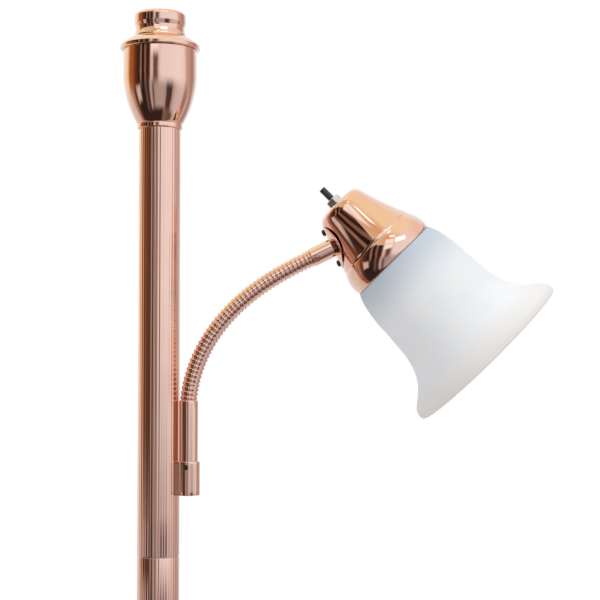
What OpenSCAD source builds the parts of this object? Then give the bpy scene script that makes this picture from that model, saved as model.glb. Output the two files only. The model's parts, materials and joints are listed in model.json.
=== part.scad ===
// Mother and daughter floor lamp: a reeded pole on a weighted base, an urn and a drum at the top for the
// upward lamp, and a reading lamp on a wound flexible arm. Millimetres, +Z up. The origin is on the floor
// at the pole's axis, and the arm bends towards +X.

/* [Base] */
// Diameter of the base
base_d = 280; // [240:5:320]
// Height of the base at the pole
base_h = 30; // [28:1:40]
// Radius that rounds the shoulder of the base cover
base_shoulder_r = 7; // [5:0.5:8]
// Diameter of the flat top of the base cover
base_flat_d = 84; // [70:2:110]
// Wall of the pressed base cover
base_wall = 1.2; // [0.8:0.1:1.6]
// Room between the floor and the edge of the base cover
cover_lift = 1; // [0.5:0.1:1.5]
// Room between the cast weight and the base cover
weight_gap = 0.3; // [0.2:0.1:0.8]
// Thickness of the felt pad
pad_t = 2; // [1.6:0.2:3]
// Diameter of the hole for the mains cord
cord_d = 6.8; // [6:0.1:8]
// Rubber round the cord in the grommet
grommet_wall = 1; // [0.8:0.1:1.4]
// Flange of the grommet beyond its sleeve
grommet_lip = 1.2; // [0.8:0.1:1.6]
// Thickness of each flange of the grommet
grommet_flange_t = 2; // [1.5:0.1:2.5]
// Room above and below the grommet on the base's rim
grommet_room = 0.4; // [0.3:0.1:1]
// Diameter of the foot collar where it meets the base
collar_d = 52; // [46:1:70]
// Height of the foot collar
collar_h = 14; // [10:1:24]
// Height of the foot collar's upright edge
collar_foot = 2; // [1:0.2:4]
// Wall of the foot collar at its top
collar_edge = 1.4; // [1:0.1:2]

/* [Pole] */
// Diameter of the pole over its reeds
pole_d = 35; // [33:0.5:38]
// Length of one pole section
section_len = 362; // [330:1:400]
// Number of reeds round the pole
reed_count = 36; // [30:1:40]
// Radius of one reed
reed_r = 4.6; // [3:0.1:6]
// Wall of the pole between the reeds
pole_wall = 1.2; // [1:0.1:1.6]
// Length of a coupler
coupler_len = 60; // [40:2:90]
// Wall of a coupler
coupler_wall = 2; // [1.5:0.1:3]
// Ring of the coupler that shows at the seam
seam_t = 0.6; // [0.4:0.1:1.2]
// Depth of the seam below the reeds' crests
seam_depth = 0.5; // [0.3:0.1:0.8]
// Length of an end plug inside the pole
plug_len = 26; // [20:1:34]
// Thickness of an end plug's flange
plug_flange_t = 2; // [1.5:0.1:3]

/* [Threaded parts] */
// Diameter of the hollow studs and of the hub's nipple
stud_d = 10; // [9:0.5:10.5]
// Bore of the hollow studs
stud_bore = 6.4; // [5:0.2:7]
// Length of a hollow stud
stud_len = 70; // [66:1:76]
// Width across the flats of a lock nut
nut_af = 14; // [13:0.5:15]
// Thickness of a lock nut
nut_t = 4; // [3:0.5:5]
// Diameter of a washer
washer_d = 22; // [18:1:24]
// Thickness of a washer
washer_t = 1.6; // [1:0.2:2]
// Radial room in a fit
slip = 0.05; // [0.02:0.01:0.1]
// Room between faces that are clamped together
seat_gap = 0.05; // [0.02:0.01:0.1]

/* [Urn and drum] */
// Diameter of the urn's lip on the pole
lip_d = 38.4; // [37.6:0.2:40]
// Height of the urn's lip
lip_h = 4.6; // [3:0.2:6]
// How far the lip reaches down over the pole's end
lip_cover = 6; // [4:0.5:9]
// Diameter of the urn at its widest
urn_d = 62.4; // [58:0.4:68]
// Height of the urn from its lip to the brim
urn_h = 66.9; // [62:0.5:72]
// Height above the lip's foot where the urn is widest
urn_belly_h = 47; // [40:1:54]
// Wall of the urn, the brim cap and the drum
urn_wall = 1.2; // [0.8:0.1:1.4]
// Diameter of the brim
brim_d = 67.2; // [66:0.4:72]
// Height of the brim's edge
brim_h = 4.2; // [3:0.2:5]
// Rounding of the brim's edge
brim_round = 1.2; // [0.8:0.1:1.4]
// Width of the rolled flange below the brim
brim_roll = 5; // [4:0.2:6]
// Height of the brim cap from its lower edge to its top
cap_h = 10.3; // [9:0.1:12]
// Diameter of the drum at its foot and of the top of the brim cap
drum_foot_d = 44.6; // [44:0.2:48]
// Diameter of the drum at its waist
drum_waist_d = 41.4; // [41:0.2:44]
// Diameter of the drum's cylindrical land
drum_d = 43.7; // [43.2:0.1:46]
// Rounding of the drum's upper edge
drum_round = 3.6; // [3:0.1:3.8]
// Height of the drum's waist above its foot
drum_waist_h = 8.3; // [7:0.1:9]
// Height of the foot of the cylindrical land above the drum's foot
land_h = 13.2; // [12.4:0.1:14]
// Length of the cylindrical land
land_len = 4.6; // [4:0.1:5]

/* [Lampholders] */
// Diameter of a lampholder's barrel
holder_d = 34; // [33.4:0.1:35]
// Length of a lampholder
holder_len = 49; // [47:0.5:50]
// Distance from a lampholder's base to the face of its shoulder
holder_seat = 29.7; // [28:0.1:31]
// Diameter of a lampholder's shoulder
holder_shoulder_d = 40; // [38:0.5:42]
// Thickness of a lampholder's shoulder
holder_shoulder_t = 3; // [2:0.2:4]
// Depth of a lampholder's floor, from its base to its cavity
holder_floor = 14; // [12:0.5:15]
// Depth of the stud's thread in a lampholder
holder_thread = 8; // [7:0.5:10]
// Diameter of the lamp's screw thread in the shell
lamp_thread_d = 26.6; // [26:0.1:27.4]
// Wall of the screw shell
shell_wall = 0.8; // [0.6:0.1:1]
// Diameter of a centre contact
contact_d = 8; // [6:0.5:10]
// Height of a centre contact
contact_h = 3; // [2:0.2:4]
// Height of a lampholder's clamp ring
ring_h = 4.4; // [3:0.2:5]
// Room round the mother lampholder's clamp ring
mother_ring_room = 0.4; // [0.3:0.05:0.6]
// Wall of the shade ring
shade_ring_wall = 6; // [4:0.5:8]

/* [Hub and ferrules] */
// Direction of the hub round the pole, in degrees from +X
hub_azimuth = -12; // [-30:1:30]
// Height of the hub's middle above the uppermost seam
hub_rise = 64.2; // [50:1:110]
// Height of the hub
hub_h = 28; // [27:0.5:34]
// Metal of the hub round the ferrule
hub_skin = 1.65; // [1.2:0.05:2.5]
// How far the hub's flat sides lie inside its round front
hub_side_in = 2.1; // [1.5:0.1:2.5]
// Metal of the hub between the ferrule and the pole
hub_web = 0.8; // [0.6:0.1:2]
// Length of the lower ferrule inside the hub
ferrule_depth = 13; // [10:0.5:14]
// Height of the nipple's axis above the hub's foot
nipple_h = 7; // [6.5:0.1:7.5]
// Diameter of the hub's grub screw
grub_d = 4; // [3:0.5:5]
// Depth of the grub screw below the hub's top
grub_drop = 4.8; // [4:0.1:6]
// How far the grub screw sits below the hub's face
grub_recess = 0.6; // [0.3:0.1:0.9]
// Diameter of the lower ferrule at the hub
ferrule_d = 15.4; // [15:0.1:16.5]
// Length of the lower ferrule above the hub
ferrule_len = 50.6; // [40:0.5:70]
// Diameter of the ferrules where they meet the arm
ferrule_end_d = 15.6; // [14.6:0.1:16]
// Rounding of the ferrules' ends
ferrule_round = 1; // [0.5:0.1:1.4]
// Width of the bead at the end of the head ferrule
ferrule_bead_w = 2.9; // [2.4:0.1:3.2]
// Depth of the groove behind that bead
ferrule_groove = 0.6; // [0.3:0.1:0.9]
// Bore of the ferrules
ferrule_bore = 6; // [5:0.1:7]

/* [Flexible arm] */
// Diameter of the arm over its ribs
arm_d = 14.3; // [13.4:0.1:14.4]
// Depth of the grooves between the ribs
rib_depth = 0.85; // [0.5:0.05:1]
// Ribs on each link of the arm
link_ribs = 3; // [2:1:4]
// Length of the arm between its ferrules
arm_len = 161.5; // [150:0.5:220]
// How far below the arm's start its bend would have begun
arm_lead = 8; // [4:0.5:10]
// How the bend fades towards the head: 1 is an even bend, more fades sooner
arm_fade = 1.5; // [1.2:0.05:1.8]
// Bore of the arm
arm_bore = 4.4; // [3:0.1:5]
// Diameter of the ball at the end of each link
ball_d = 8.8; // [8.4:0.1:9]
// Height of the ball above its centre
ball_top = 2.6; // [2:0.1:3]
// Room between the end faces of two links
link_gap = 1.45; // [1.4:0.05:1.7]

/* [Reading lamp head] */
// Angle of the lamp's axis below the horizontal
head_tilt = 45; // [35:1:55]
// Length of the head ferrule outside the saddle plate
head_ferrule_len = 21.7; // [18:0.1:40]
// Angle of the lamp cup's flank to its axis
cup_flare = 19; // [16:0.5:21]
// Diameter of the cup at its back, where its flank would meet its back face
cup_back_d = 39.8; // [37:0.2:42]
// Rounding of the cup's back edge
cup_round = 6.5; // [4:0.1:8]
// Distance from the cup's back to the step in its flank
cup_step_z = 43; // [42:0.2:46]
// Length of the cup
cup_len = 66.8; // [64:0.1:72]
// How far the skirt starts outside the flank at the step
step_out = 1.4; // [0.6:0.1:2]
// Diameter of the cup's skirt
skirt_d = 81.6; // [80.6:0.2:86]
// Length of the cup from its widest place to its rim
skirt_end = 5.5; // [4:0.1:7]
// How far the skirt draws in at the rim
skirt_draw = 0.4; // [0.2:0.1:1.2]
// Wall of the cup
cup_wall = 1; // [0.8:0.05:1.2]
// Distance from the cup's back to the middle of the saddle plate
saddle_z = 23.5; // [22:0.1:25]
// Diameter of the saddle plate before it is bent
saddle_d = 38.6; // [36:0.2:42]
// Thickness of the saddle plate
saddle_t = 1.2; // [0.8:0.1:1.6]
// Distance between the saddle plate's screws
saddle_pitch = 28.4; // [26:0.2:31]
// Diameter of the saddle plate's screws
saddle_screw_d = 3; // [2.5:0.1:3.5]
// Diameter of the head of a saddle screw
saddle_head_d = 5.6; // [5:0.1:6.2]
// Height of the head of a saddle screw
saddle_head_h = 2; // [1.4:0.1:2.4]
// Diameter of the head ferrule's threaded end
spigot_d = 8; // [7:0.5:9]
// Bore of the head ferrule
spigot_bore = 4; // [3:0.2:5]
// Width across the flats of the nut on that end
spigot_nut_af = 12; // [11:0.5:13]
// Thickness of that nut
spigot_nut_t = 2.6; // [2:0.1:3]
// Width of the saddle's backing plate
backing_w = 14; // [13:0.5:15]
// Thickness of the saddle's backing plate
backing_t = 1.5; // [1:0.1:1.6]
// Distance from the arm to the small screw in the head ferrule
ferrule_screw_in = 6.2; // [5:0.1:9]
// Angle of that screw below the side of the ferrule
ferrule_screw_turn = 24; // [0:2:80]
// Diameter of that screw
ferrule_screw_d = 5; // [4:0.1:5.5]

/* [Switch] */
// Diameter of the switch's threaded bushing
bushing_d = 8; // [7:0.1:9]
// Length of the bushing outside the cup
bushing_len = 6.2; // [5.6:0.1:8]
// Width across the flats of the switch nut
switch_nut_af = 12; // [11:0.2:14]
// Thickness of the switch nut
switch_nut_t = 5.8; // [4:0.1:6]
// Diameter of the switch body
switch_d = 19; // [16:0.5:21]
// Length of the switch body inside the cup
switch_len = 11; // [9:0.2:11.6]
// Diameter of the switch knob
knob_d = 5.6; // [5:0.1:7]
// Length of the switch knob
knob_len = 11.2; // [9:0.1:14]
// Diameter of the knob's spindle
spindle_d = 3.1; // [2.6:0.1:3.5]
// Room between the knob and its bushing
knob_gap = 0.3; // [0.2:0.1:0.6]

/* [Glass shade] */
// Wall of the glass
glass_t = 3.2; // [2.8:0.1:3.6]
// Diameter of the bell at its shoulder
bell_d = 94.6; // [90:0.2:104]
// Diameter of the bell where its flare starts
waist_d = 98.2; // [92:0.2:110]
// Diameter of the mouth
mouth_d = 153; // [130:0.5:170]
// Distance from the cup's back to the bell's shoulder
bell_z = 106; // [96:1:114]
// Distance from the cup's back to the start of the flare
flare_z = 128; // [116:1:140]
// Distance from the cup's back to the mouth
mouth_z = 177.6; // [165:0.5:195]
// Height of the straight edge at the mouth
mouth_roll = 3.4; // [2.6:0.2:6]
// Share of the flare's height over which the bell keeps its slow widening
flare_hold = 0.78; // [0.6:0.02:0.8]
// Share of the flare's height in which it turns into the mouth's edge
lip_turn = 0.26; // [0.2:0.02:0.34]
// Room round the glass inside the cup
glass_room = 0.4; // [0.3:0.1:1]
// Thickness of the carrier plate in the cup
carrier_t = 1.5; // [1:0.1:2]

/* [Hidden] */
$fn = 72;

copper = "#c98566";
steel = "#b9bbbd";
nickel = "#c3c4c6";
black = "#262629";
brass = "#c9a95c";
frosted = "#dfe5ee";
iron = "#3a3a3c";

// Radii and heights of the base and the pole
base_r = base_d / 2;
pole_r = pole_d / 2;
stud_r = stud_d / 2;
reed_ring_r = pole_r - reed_r;
reed_half = 180 / reed_count;
reed_valley_r = reed_ring_r * cos(reed_half) + sqrt(reed_r * reed_r - pow(reed_ring_r * sin(reed_half), 2));
pole_bore_r = reed_valley_r - pole_wall;
seam_r = pole_r - seam_depth;
section_count = 4;
pole_z = base_h + plug_flange_t;
section_pitch = section_len + seam_t;
function section_z(k) = pole_z + (k - 1) * section_pitch;
pole_top = section_z(section_count) + section_len;
seam_z = section_z(section_count);

// The base nut and washer hang in a recess under the weight
recess_z = pad_t + 12;
recess_r = washer_d / 2 + 4;
grommet_r = cord_d / 2 + grommet_wall;
grommet_lip_r = grommet_r + grommet_lip;
channel_w = 2 * (grommet_lip_r + 0.6);
cord_z = pad_t + grommet_room + grommet_lip_r;
base_rim_h = cord_z + grommet_lip_r + grommet_room;

// The urn stands on the top plug, and the brim cap on the urn
seat_z = pole_top + plug_flange_t;
lip_z = pole_top - lip_cover;
brim_z = lip_z + urn_h;
cap_top = brim_z + cap_h;
drum_z = cap_top + seat_gap;
mother_seat = cap_top - urn_wall - seat_gap;
mother_base = mother_seat - holder_seat;
mother_ring_z = drum_z + urn_wall + seat_gap;
mother_ring_r = drum_waist_d / 2 - urn_wall - mother_ring_room;

// Lampholder: barrel, cavity and ring
holder_r = holder_d / 2;
shell_r = lamp_thread_d / 2;
cavity_r = shell_r + shell_wall + slip;
ring_r = holder_r + slip;
shell_z = holder_floor + contact_h + 0.5;
shell_len = holder_len - shell_z - 0.5;

// Hub, ferrule and the start of the arm
ferrule_r = ferrule_d / 2;
hub_bore_r = ferrule_r + slip;
hub_r = hub_bore_r + hub_skin;
hub_reach = pole_r + slip + hub_web + hub_bore_r;
hub_z = seam_z + hub_rise - hub_h / 2;
hub_top = hub_z + hub_h;
nipple_z = hub_z + nipple_h;
hub_nut_x = sqrt(pow(pole_bore_r, 2) - pow(nut_af / sqrt(3), 2)) - 0.1 - nut_t;
nipple_in = hub_nut_x - 1.5;
nipple_out = hub_reach - ferrule_bore / 2;
arm_x = hub_reach * cos(hub_azimuth);
arm_y = hub_reach * sin(hub_azimuth);
arm_z = hub_top + ferrule_len;

// The arm's curve: its tilt from the vertical grows fast at the lower ferrule and fades towards the head
arm_r = arm_d / 2;
links = 14;
link_len = arm_len / links;
rib_pitch = link_len / link_ribs;
ball_r = ball_d / 2;
arm_bend = 90 - head_tilt + cup_flare;
function tilt(s) = arm_bend * (1 - pow(1 - min(1, (s + arm_lead) / (arm_len + arm_lead)), arm_fade));
curve_steps = 12;
curve_ds = link_len / curve_steps;
function step_tilt(i) = tilt((i + 0.5) * curve_ds);
curve = [
    for (i = 0, p = [arm_x, arm_z]; i <= links * curve_steps;
        p = p + curve_ds * [sin(step_tilt(i)), cos(step_tilt(i))], i = i + 1) p
];
function joint_at(k) = curve[k * curve_steps];
function joint_tilt(k) = k == 0 ? 0 : tilt(k * link_len);

// Reading lamp: the head ferrule stands square on the cup's flank
ferrule_rise = 90 - arm_bend;
saddle_seat = seat_gap + saddle_t;
flank_r = cup_back_d / 2 + saddle_z * tan(cup_flare);
saddle_bend_r = (flank_r + 0.85 * saddle_d / 2 * sin(cup_flare)) / cos(cup_flare);
arm_end = joint_at(links);
saddle_reach = head_ferrule_len + saddle_seat;
saddle_at = arm_end + saddle_reach * [cos(ferrule_rise), sin(ferrule_rise)];
head_x = saddle_at.x - saddle_z * cos(head_tilt) + flank_r * sin(head_tilt);
head_z = saddle_at.y + saddle_z * sin(head_tilt) + flank_r * cos(head_tilt);

// The backing plate's long edges meet the inside of the flank, and the spigot ends past its nut
flank_bend_r = (flank_r - saddle_pitch / 2 * sin(cup_flare)) / cos(cup_flare) - cup_wall;
backing_sag = flank_bend_r - sqrt(pow(flank_bend_r, 2) - pow(backing_w / 2, 2));
backing_z = -cup_wall - backing_sag - 0.3;
spigot_nut_z = backing_z - backing_t - seat_gap - spigot_nut_t;
spigot_end = spigot_nut_z - 0.6;

// Cup, carrier plate and glass, all along the lamp's axis from the cup's back
cup_r = cup_back_d / 2;
step_r = cup_r + cup_step_z * tan(cup_flare);
skirt_z = cup_len - skirt_end;
skirt_start = cup_step_z + 3;
carrier_z = cup_step_z + 1.6;
carrier_r = step_r - cup_wall - slip;
daughter_base = carrier_z - seat_gap - holder_seat;
glass_z = carrier_z + carrier_t + seat_gap;
shade_ring_z = glass_z + glass_t + seat_gap;
glass_hole_r = holder_r + glass_room;
switch_z = cup_wall + seat_gap;
bushing_r = bushing_d / 2;
spindle_r = spindle_d / 2;
knob_z = -max(bushing_len, switch_nut_t + seat_gap) - knob_gap;

// Outline helpers: points of an arc, and a wall of even thickness on one side of a line of points
function arc(c, r, a0, a1, n = 8) =
    [for (i = [0:n]) let (a = a0 + (a1 - a0) * i / n) c + r * [cos(a), sin(a)]];
function side(p, i) = let (d = p[i + 1] - p[i]) [-d.y, d.x] / norm(d);
function mitre(p, i) =
    i == 0 ? side(p, 0)
    : i == len(p) - 1 ? side(p, i - 1)
    : let (a = side(p, i - 1), b = side(p, i)) (a + b) / (1 + a * b);
function moved(p, t) = [for (i = [0:len(p) - 1]) p[i] + t * mitre(p, i)];
function back(p) = [for (i = [len(p) - 1:-1:0]) p[i]];
function wall(p, t) = concat(p, back(moved(p, t)));
function bezier(p, t) = let (u = 1 - t)
    u * u * u * p[0] + 3 * u * u * t * p[1] + 3 * u * t * t * p[2] + t * t * t * p[3];

// Where things stand
module at_hub(z) { rotate([0, 0, hub_azimuth]) translate([hub_reach, 0, z]) children(); }
module at_nipple(x) { rotate([0, 0, hub_azimuth]) translate([x, 0, nipple_z]) rotate([0, 90, 0]) children(); }
module at_arm(k, a) { translate([joint_at(k).x, arm_y, joint_at(k).y]) rotate([0, a, 0]) children(); }
module at_head() { translate([head_x, arm_y, head_z]) rotate([0, 90 + head_tilt, 0]) children(); }
module at_flank() { at_head() translate([flank_r, 0, saddle_z]) rotate([0, 90 + cup_flare, 0]) children(); }
module at_saddle_screws() { for (s = [-1, 1]) translate([s * saddle_pitch / 2, 0, 0]) children(); }

// Simple shapes that repeat
module tube(r_out, r_in, h) {
    difference() {
        cylinder(r = r_out, h = h);
        translate([0, 0, -1]) cylinder(r = r_in, h = h + 2);
    }
}
module hex_nut(af, t, r_in) {
    difference() {
        cylinder(r = af / sqrt(3), h = t, $fn = 6);
        translate([0, 0, -1]) cylinder(r = r_in, h = t + 2);
    }
}

// Base
function cover_line() = concat(
    [[base_r, cover_lift]],
    arc([base_r - base_shoulder_r, base_rim_h], base_shoulder_r, 0, 78),
    [[base_flat_d / 2, base_h], [stud_r + slip, base_h]]
);

module base_pad() { color("#2b2a2c") cylinder(r = base_r - base_wall - weight_gap - 1, h = pad_t); }

module base_weight() {
    line = moved(cover_line(), base_wall + weight_gap);
    color(iron) difference() {
        rotate_extrude() polygon(concat(
            [[line[0].x, pad_t]],
            [for (i = [1:len(line) - 1]) line[i]],
            [[stud_r + slip, recess_z], [recess_r, recess_z], [recess_r, pad_t]]
        ));
        translate([-channel_w / 2, 0, pad_t - 1]) cube([channel_w, base_r, cord_z - pad_t + 1]);
        translate([0, 0, cord_z]) rotate([-90, 0, 0]) cylinder(d = channel_w, h = base_r);
    }
}

module base_cover() {
    color(copper) difference() {
        rotate_extrude() polygon(wall(cover_line(), base_wall));
        translate([0, base_r / 2, cord_z]) rotate([-90, 0, 0]) cylinder(r = grommet_r + slip, h = base_r);
    }
}

module cord_grommet() {
    inner = base_r - base_wall - 0.15;
    color(black) translate([0, 0, cord_z]) rotate([-90, 0, 0]) difference() {
        union() {
            translate([0, 0, inner - grommet_flange_t]) cylinder(r = grommet_lip_r, h = grommet_flange_t);
            translate([0, 0, inner - 0.5]) cylinder(r = grommet_r, h = base_wall + 1);
            translate([0, 0, base_r]) cylinder(r = grommet_lip_r, h = grommet_flange_t);
        }
        translate([0, 0, inner - base_r / 2]) cylinder(r = cord_d / 2, h = base_r);
    }
}

// A plug fills the pole's end: a flange that the pole's end meets, and a bored barrel inside the pole
module end_plug() {
    difference() {
        union() {
            cylinder(r = seam_r, h = plug_flange_t);
            cylinder(r = pole_bore_r - slip, h = plug_flange_t + plug_len);
        }
        translate([0, 0, -1]) cylinder(r = stud_r + slip, h = plug_flange_t + plug_len + 2);
    }
}
module foot_plug() { color(steel) translate([0, 0, base_h]) end_plug(); }
module top_plug() { color(steel) translate([0, 0, seat_z]) mirror([0, 0, 1]) end_plug(); }

module foot_collar() {
    rise = collar_d / 2 - pole_r - collar_edge;
    color(copper) translate([0, 0, base_h + seat_gap]) rotate_extrude() polygon(concat(
        [[pole_r + slip, 0], [collar_d / 2, 0]],
        [for (a = [0:10:90]) [collar_d / 2 - rise * sin(a), collar_h - (collar_h - collar_foot) * cos(a)]],
        [[pole_r + slip, collar_h]]
    ));
}

// Pole
module reeded_tube() {
    linear_extrude(section_len) difference() {
        union() {
            circle(r = reed_ring_r);
            for (i = [1:reed_count]) rotate(2 * reed_half * i) {
                translate([reed_ring_r, 0]) circle(r = reed_r, $fn = 24);
            }
        }
        circle(r = pole_bore_r);
    }
}
module pole_section(k) { color(copper) translate([0, 0, section_z(k)]) reeded_tube(); }
module pole_section_4() {
    difference() {
        pole_section(section_count);
        at_nipple(0) cylinder(r = stud_r + 2 * slip, h = hub_reach);
    }
}

module pole_coupler(k) {
    color(steel) translate([0, 0, section_z(k + 1) - seam_t]) difference() {
        union() {
            cylinder(r = seam_r, h = seam_t);
            translate([0, 0, (seam_t - coupler_len) / 2]) cylinder(r = pole_bore_r - slip, h = coupler_len);
        }
        translate([0, 0, -coupler_len]) cylinder(r = pole_bore_r - slip - coupler_wall, h = 2 * coupler_len);
    }
}

// Hollow studs: one holds the base to the pole, the other the urn and the mother lampholder
module hollow_studs() {
    color(steel) for (z = [recess_z - washer_t - nut_t - 2, mother_base + holder_thread - stud_len]) {
        translate([0, 0, z]) tube(stud_r, stud_bore / 2, stud_len);
    }
}
module lock_nuts() {
    color(steel) {
        translate([0, 0, recess_z - washer_t - nut_t]) hex_nut(nut_af, nut_t, stud_r + slip);
        translate([0, 0, seat_z + urn_wall + washer_t]) hex_nut(nut_af, nut_t, stud_r + slip);
        at_nipple(hub_nut_x) hex_nut(nut_af, nut_t, stud_r + slip);
    }
}
module washers() {
    color(steel) for (z = [recess_z - washer_t, seat_z + urn_wall]) {
        translate([0, 0, z]) tube(washer_d / 2, stud_r + slip, washer_t);
    }
}

// Urn: a lip round the pole, then an arc that is upright at the belly
module urn_cup() {
    lip_r = lip_d / 2;
    drop = urn_belly_h - lip_h;
    swell = urn_d / 2 - lip_r;
    bend = (drop * drop + swell * swell) / (2 * swell);
    sweep = asin(drop / bend);
    bowl = [for (p = arc([urn_d / 2 - bend, urn_belly_h], bend, -sweep, 0, 10)) p];
    floor_h = seat_z - lip_z;
    bore_r = pole_r + slip;
    inner_r = urn_d / 2 - urn_wall;
    color(copper) translate([0, 0, lip_z]) rotate_extrude() polygon(concat(
        [[bore_r, 0], [lip_r - 0.8, 0], [lip_r, 0.8], [lip_r, lip_h - 0.8], [lip_r - 0.4, lip_h - 0.3]],
        bowl,
        [[urn_d / 2, urn_h - seat_gap], [inner_r, urn_h - seat_gap], [inner_r, urn_belly_h]],
        [for (i = [10:-1:0]) if (bowl[i].y > floor_h + urn_wall + 3) bowl[i] - [urn_wall, 0]],
        [[lip_r, floor_h + urn_wall], [stud_r + slip, floor_h + urn_wall]],
        [[stud_r + slip, floor_h], [bore_r, floor_h]]
    ));
}

function cap_line() = let (r = brim_d / 2) concat(
    [[r - brim_roll, 0]],
    arc([r - brim_round, brim_round], brim_round, -90, 0, 4),
    arc([r - brim_round, brim_h - brim_round], brim_round, 0, 60, 3),
    [[drum_foot_d / 2 + 4, cap_h - 1.4], [drum_foot_d / 2, cap_h], [ring_r, cap_h]]
);
module brim_cap() {
    color(copper) translate([0, 0, brim_z]) rotate_extrude() polygon(wall(cap_line(), urn_wall));
}

function drum_line() = let (
    r = drum_d / 2, waist_r = drum_waist_d / 2, foot_r = drum_foot_d / 2,
    foot_h = 0.15 * drum_waist_h, rise = land_h - drum_waist_h
) concat(
    [[ring_r, 0], [foot_r, 0]],
    [for (i = [1:6]) [foot_r + (waist_r - foot_r) * sin(15 * i), foot_h + (drum_waist_h - foot_h) * i / 6]],
    [for (i = [1:6]) [waist_r + (r - waist_r) * (1 - cos(30 * i)) / 2, drum_waist_h + rise * i / 6]],
    arc([r - drum_round, land_h + land_len], drum_round, 0, 90, 5)
);
module drum_collar() {
    color(copper) translate([0, 0, drum_z]) rotate_extrude() polygon(wall(drum_line(), urn_wall));
}

// Lampholder, from its base along +Z
module holder() {
    shoulder_z = holder_seat - holder_shoulder_t;
    difference() {
        union() {
            cylinder(r = holder_r, h = holder_len);
            translate([0, 0, shoulder_z]) cylinder(d = holder_shoulder_d, h = holder_shoulder_t);
        }
        translate([0, 0, -1]) cylinder(r = stud_r + slip, h = holder_thread + 1);
        translate([0, 0, 1]) cylinder(r = stud_bore / 2, h = holder_floor);
        translate([0, 0, holder_floor]) cylinder(r = cavity_r, h = holder_len);
    }
}
module screw_shell() { translate([0, 0, shell_z]) tube(cavity_r - slip, shell_r, shell_len); }
module contact() {
    translate([0, 0, holder_floor]) cylinder(d = contact_d, h = contact_h / 2);
    translate([0, 0, holder_floor]) cylinder(d = contact_d / 2, h = contact_h);
    translate([0, 0, holder_floor - 2]) cylinder(r = stud_bore / 2 - slip, h = 2.5);
}
module mother_holder() { color(black) translate([0, 0, mother_base]) holder(); }
module mother_screw_shell() { color(brass) translate([0, 0, mother_base]) screw_shell(); }
module mother_contact() { color(brass) translate([0, 0, mother_base]) contact(); }
module mother_ring() { color(black) translate([0, 0, mother_ring_z]) tube(mother_ring_r, ring_r, ring_h); }

// Hub: a block with a round front, coped to the pole, bored for the ferrule and for the nipple
module arm_hub() {
    side_r = hub_r - hub_side_in;
    color(copper) difference() {
        at_hub(hub_z) union() {
            cylinder(r = hub_r, h = hub_h);
            translate([-hub_reach, -side_r, 0]) cube([hub_reach, 2 * side_r, hub_h]);
        }
        translate([0, 0, hub_z - 1]) cylinder(r = pole_r + slip, h = hub_h + 2);
        at_hub(hub_top - ferrule_depth) cylinder(r = hub_bore_r, h = ferrule_depth + 1);
        at_hub(nipple_z) cylinder(d = ferrule_bore, h = hub_h - nipple_h - 1);
        at_nipple(0) cylinder(r = stud_r + slip, h = hub_reach + ferrule_bore / 2 + 1);
        at_hub(hub_top - grub_drop) rotate([90, 0, 0]) cylinder(r = grub_d / 2 + slip, h = 2 * hub_r);
    }
}
module hub_nipple() {
    color(steel) at_nipple(nipple_in) tube(stud_r, stud_bore / 2, nipple_out - nipple_in);
}
module hub_grub_screw() {
    color(black) at_hub(hub_top - grub_drop) rotate([90, 0, 0]) difference() {
        translate([0, 0, ferrule_r + slip]) cylinder(d = grub_d, h = hub_r - ferrule_r - slip - grub_recess);
        translate([0, 0, hub_r - grub_recess - 0.6]) cylinder(d = grub_d / 2, h = 2, $fn = 6);
    }
}

// Ferrules: bored tubes with rounded ends
module lower_ferrule() {
    end_r = ferrule_end_d / 2;
    color(copper) translate([arm_x, arm_y, hub_top]) rotate_extrude() polygon(concat(
        [[ferrule_bore / 2, -ferrule_depth], [ferrule_r, -ferrule_depth], [ferrule_r, ferrule_len / 8]],
        arc([end_r - ferrule_round, ferrule_len - ferrule_round], ferrule_round, 10, 90, 4),
        [[ferrule_bore / 2, ferrule_len]]
    ));
}

// One link of the arm: ribs, a ball at its upper end and a socket at its lower end, with a bore for the wires
function rib_r(i) = arm_r - rib_depth + rib_depth * sqrt(abs(sin(30 * i)));
module cut_above(k, z) { at_arm(k, joint_tilt(k)) translate([-arm_d, -arm_d, z]) cube(2 * arm_d); }
module cut_below(k, z) { cut_above(k, z - 2 * arm_d); }
module link(k) {
    a = joint_at(k - 1);
    b = joint_at(k);
    chord = atan2(b.x - a.x, b.y - a.y);
    span = norm(b - a);
    root_r = arm_r - rib_depth;
    color(copper) difference() {
        union() {
            difference() {
                at_arm(k - 1, chord) rotate_extrude() polygon(concat(
                    [[0, -rib_pitch]],
                    [for (i = [-6:6 * link_ribs + 5]) [rib_r(i), i * span / link_ribs / 6]],
                    [[root_r, span + rib_pitch], [0, span + rib_pitch]]
                ));
                cut_below(k - 1, k == 1 ? seat_gap : link_gap / 2);
                cut_above(k, k == links ? -seat_gap : -link_gap / 2);
            }
            if (k < links) at_arm(k, joint_tilt(k)) intersection() {
                sphere(r = ball_r);
                translate([-ball_d, -ball_d, -ball_d + ball_top]) cube([2 * ball_d, 2 * ball_d, ball_d]);
            }
        }
        if (k > 1) at_arm(k - 1, joint_tilt(k - 1)) sphere(r = ball_r + slip + 0.03);
        at_arm(k - 1, chord) translate([0, 0, -arm_d]) cylinder(d = arm_bore, h = span + 2 * arm_d);
    }
}

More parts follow.
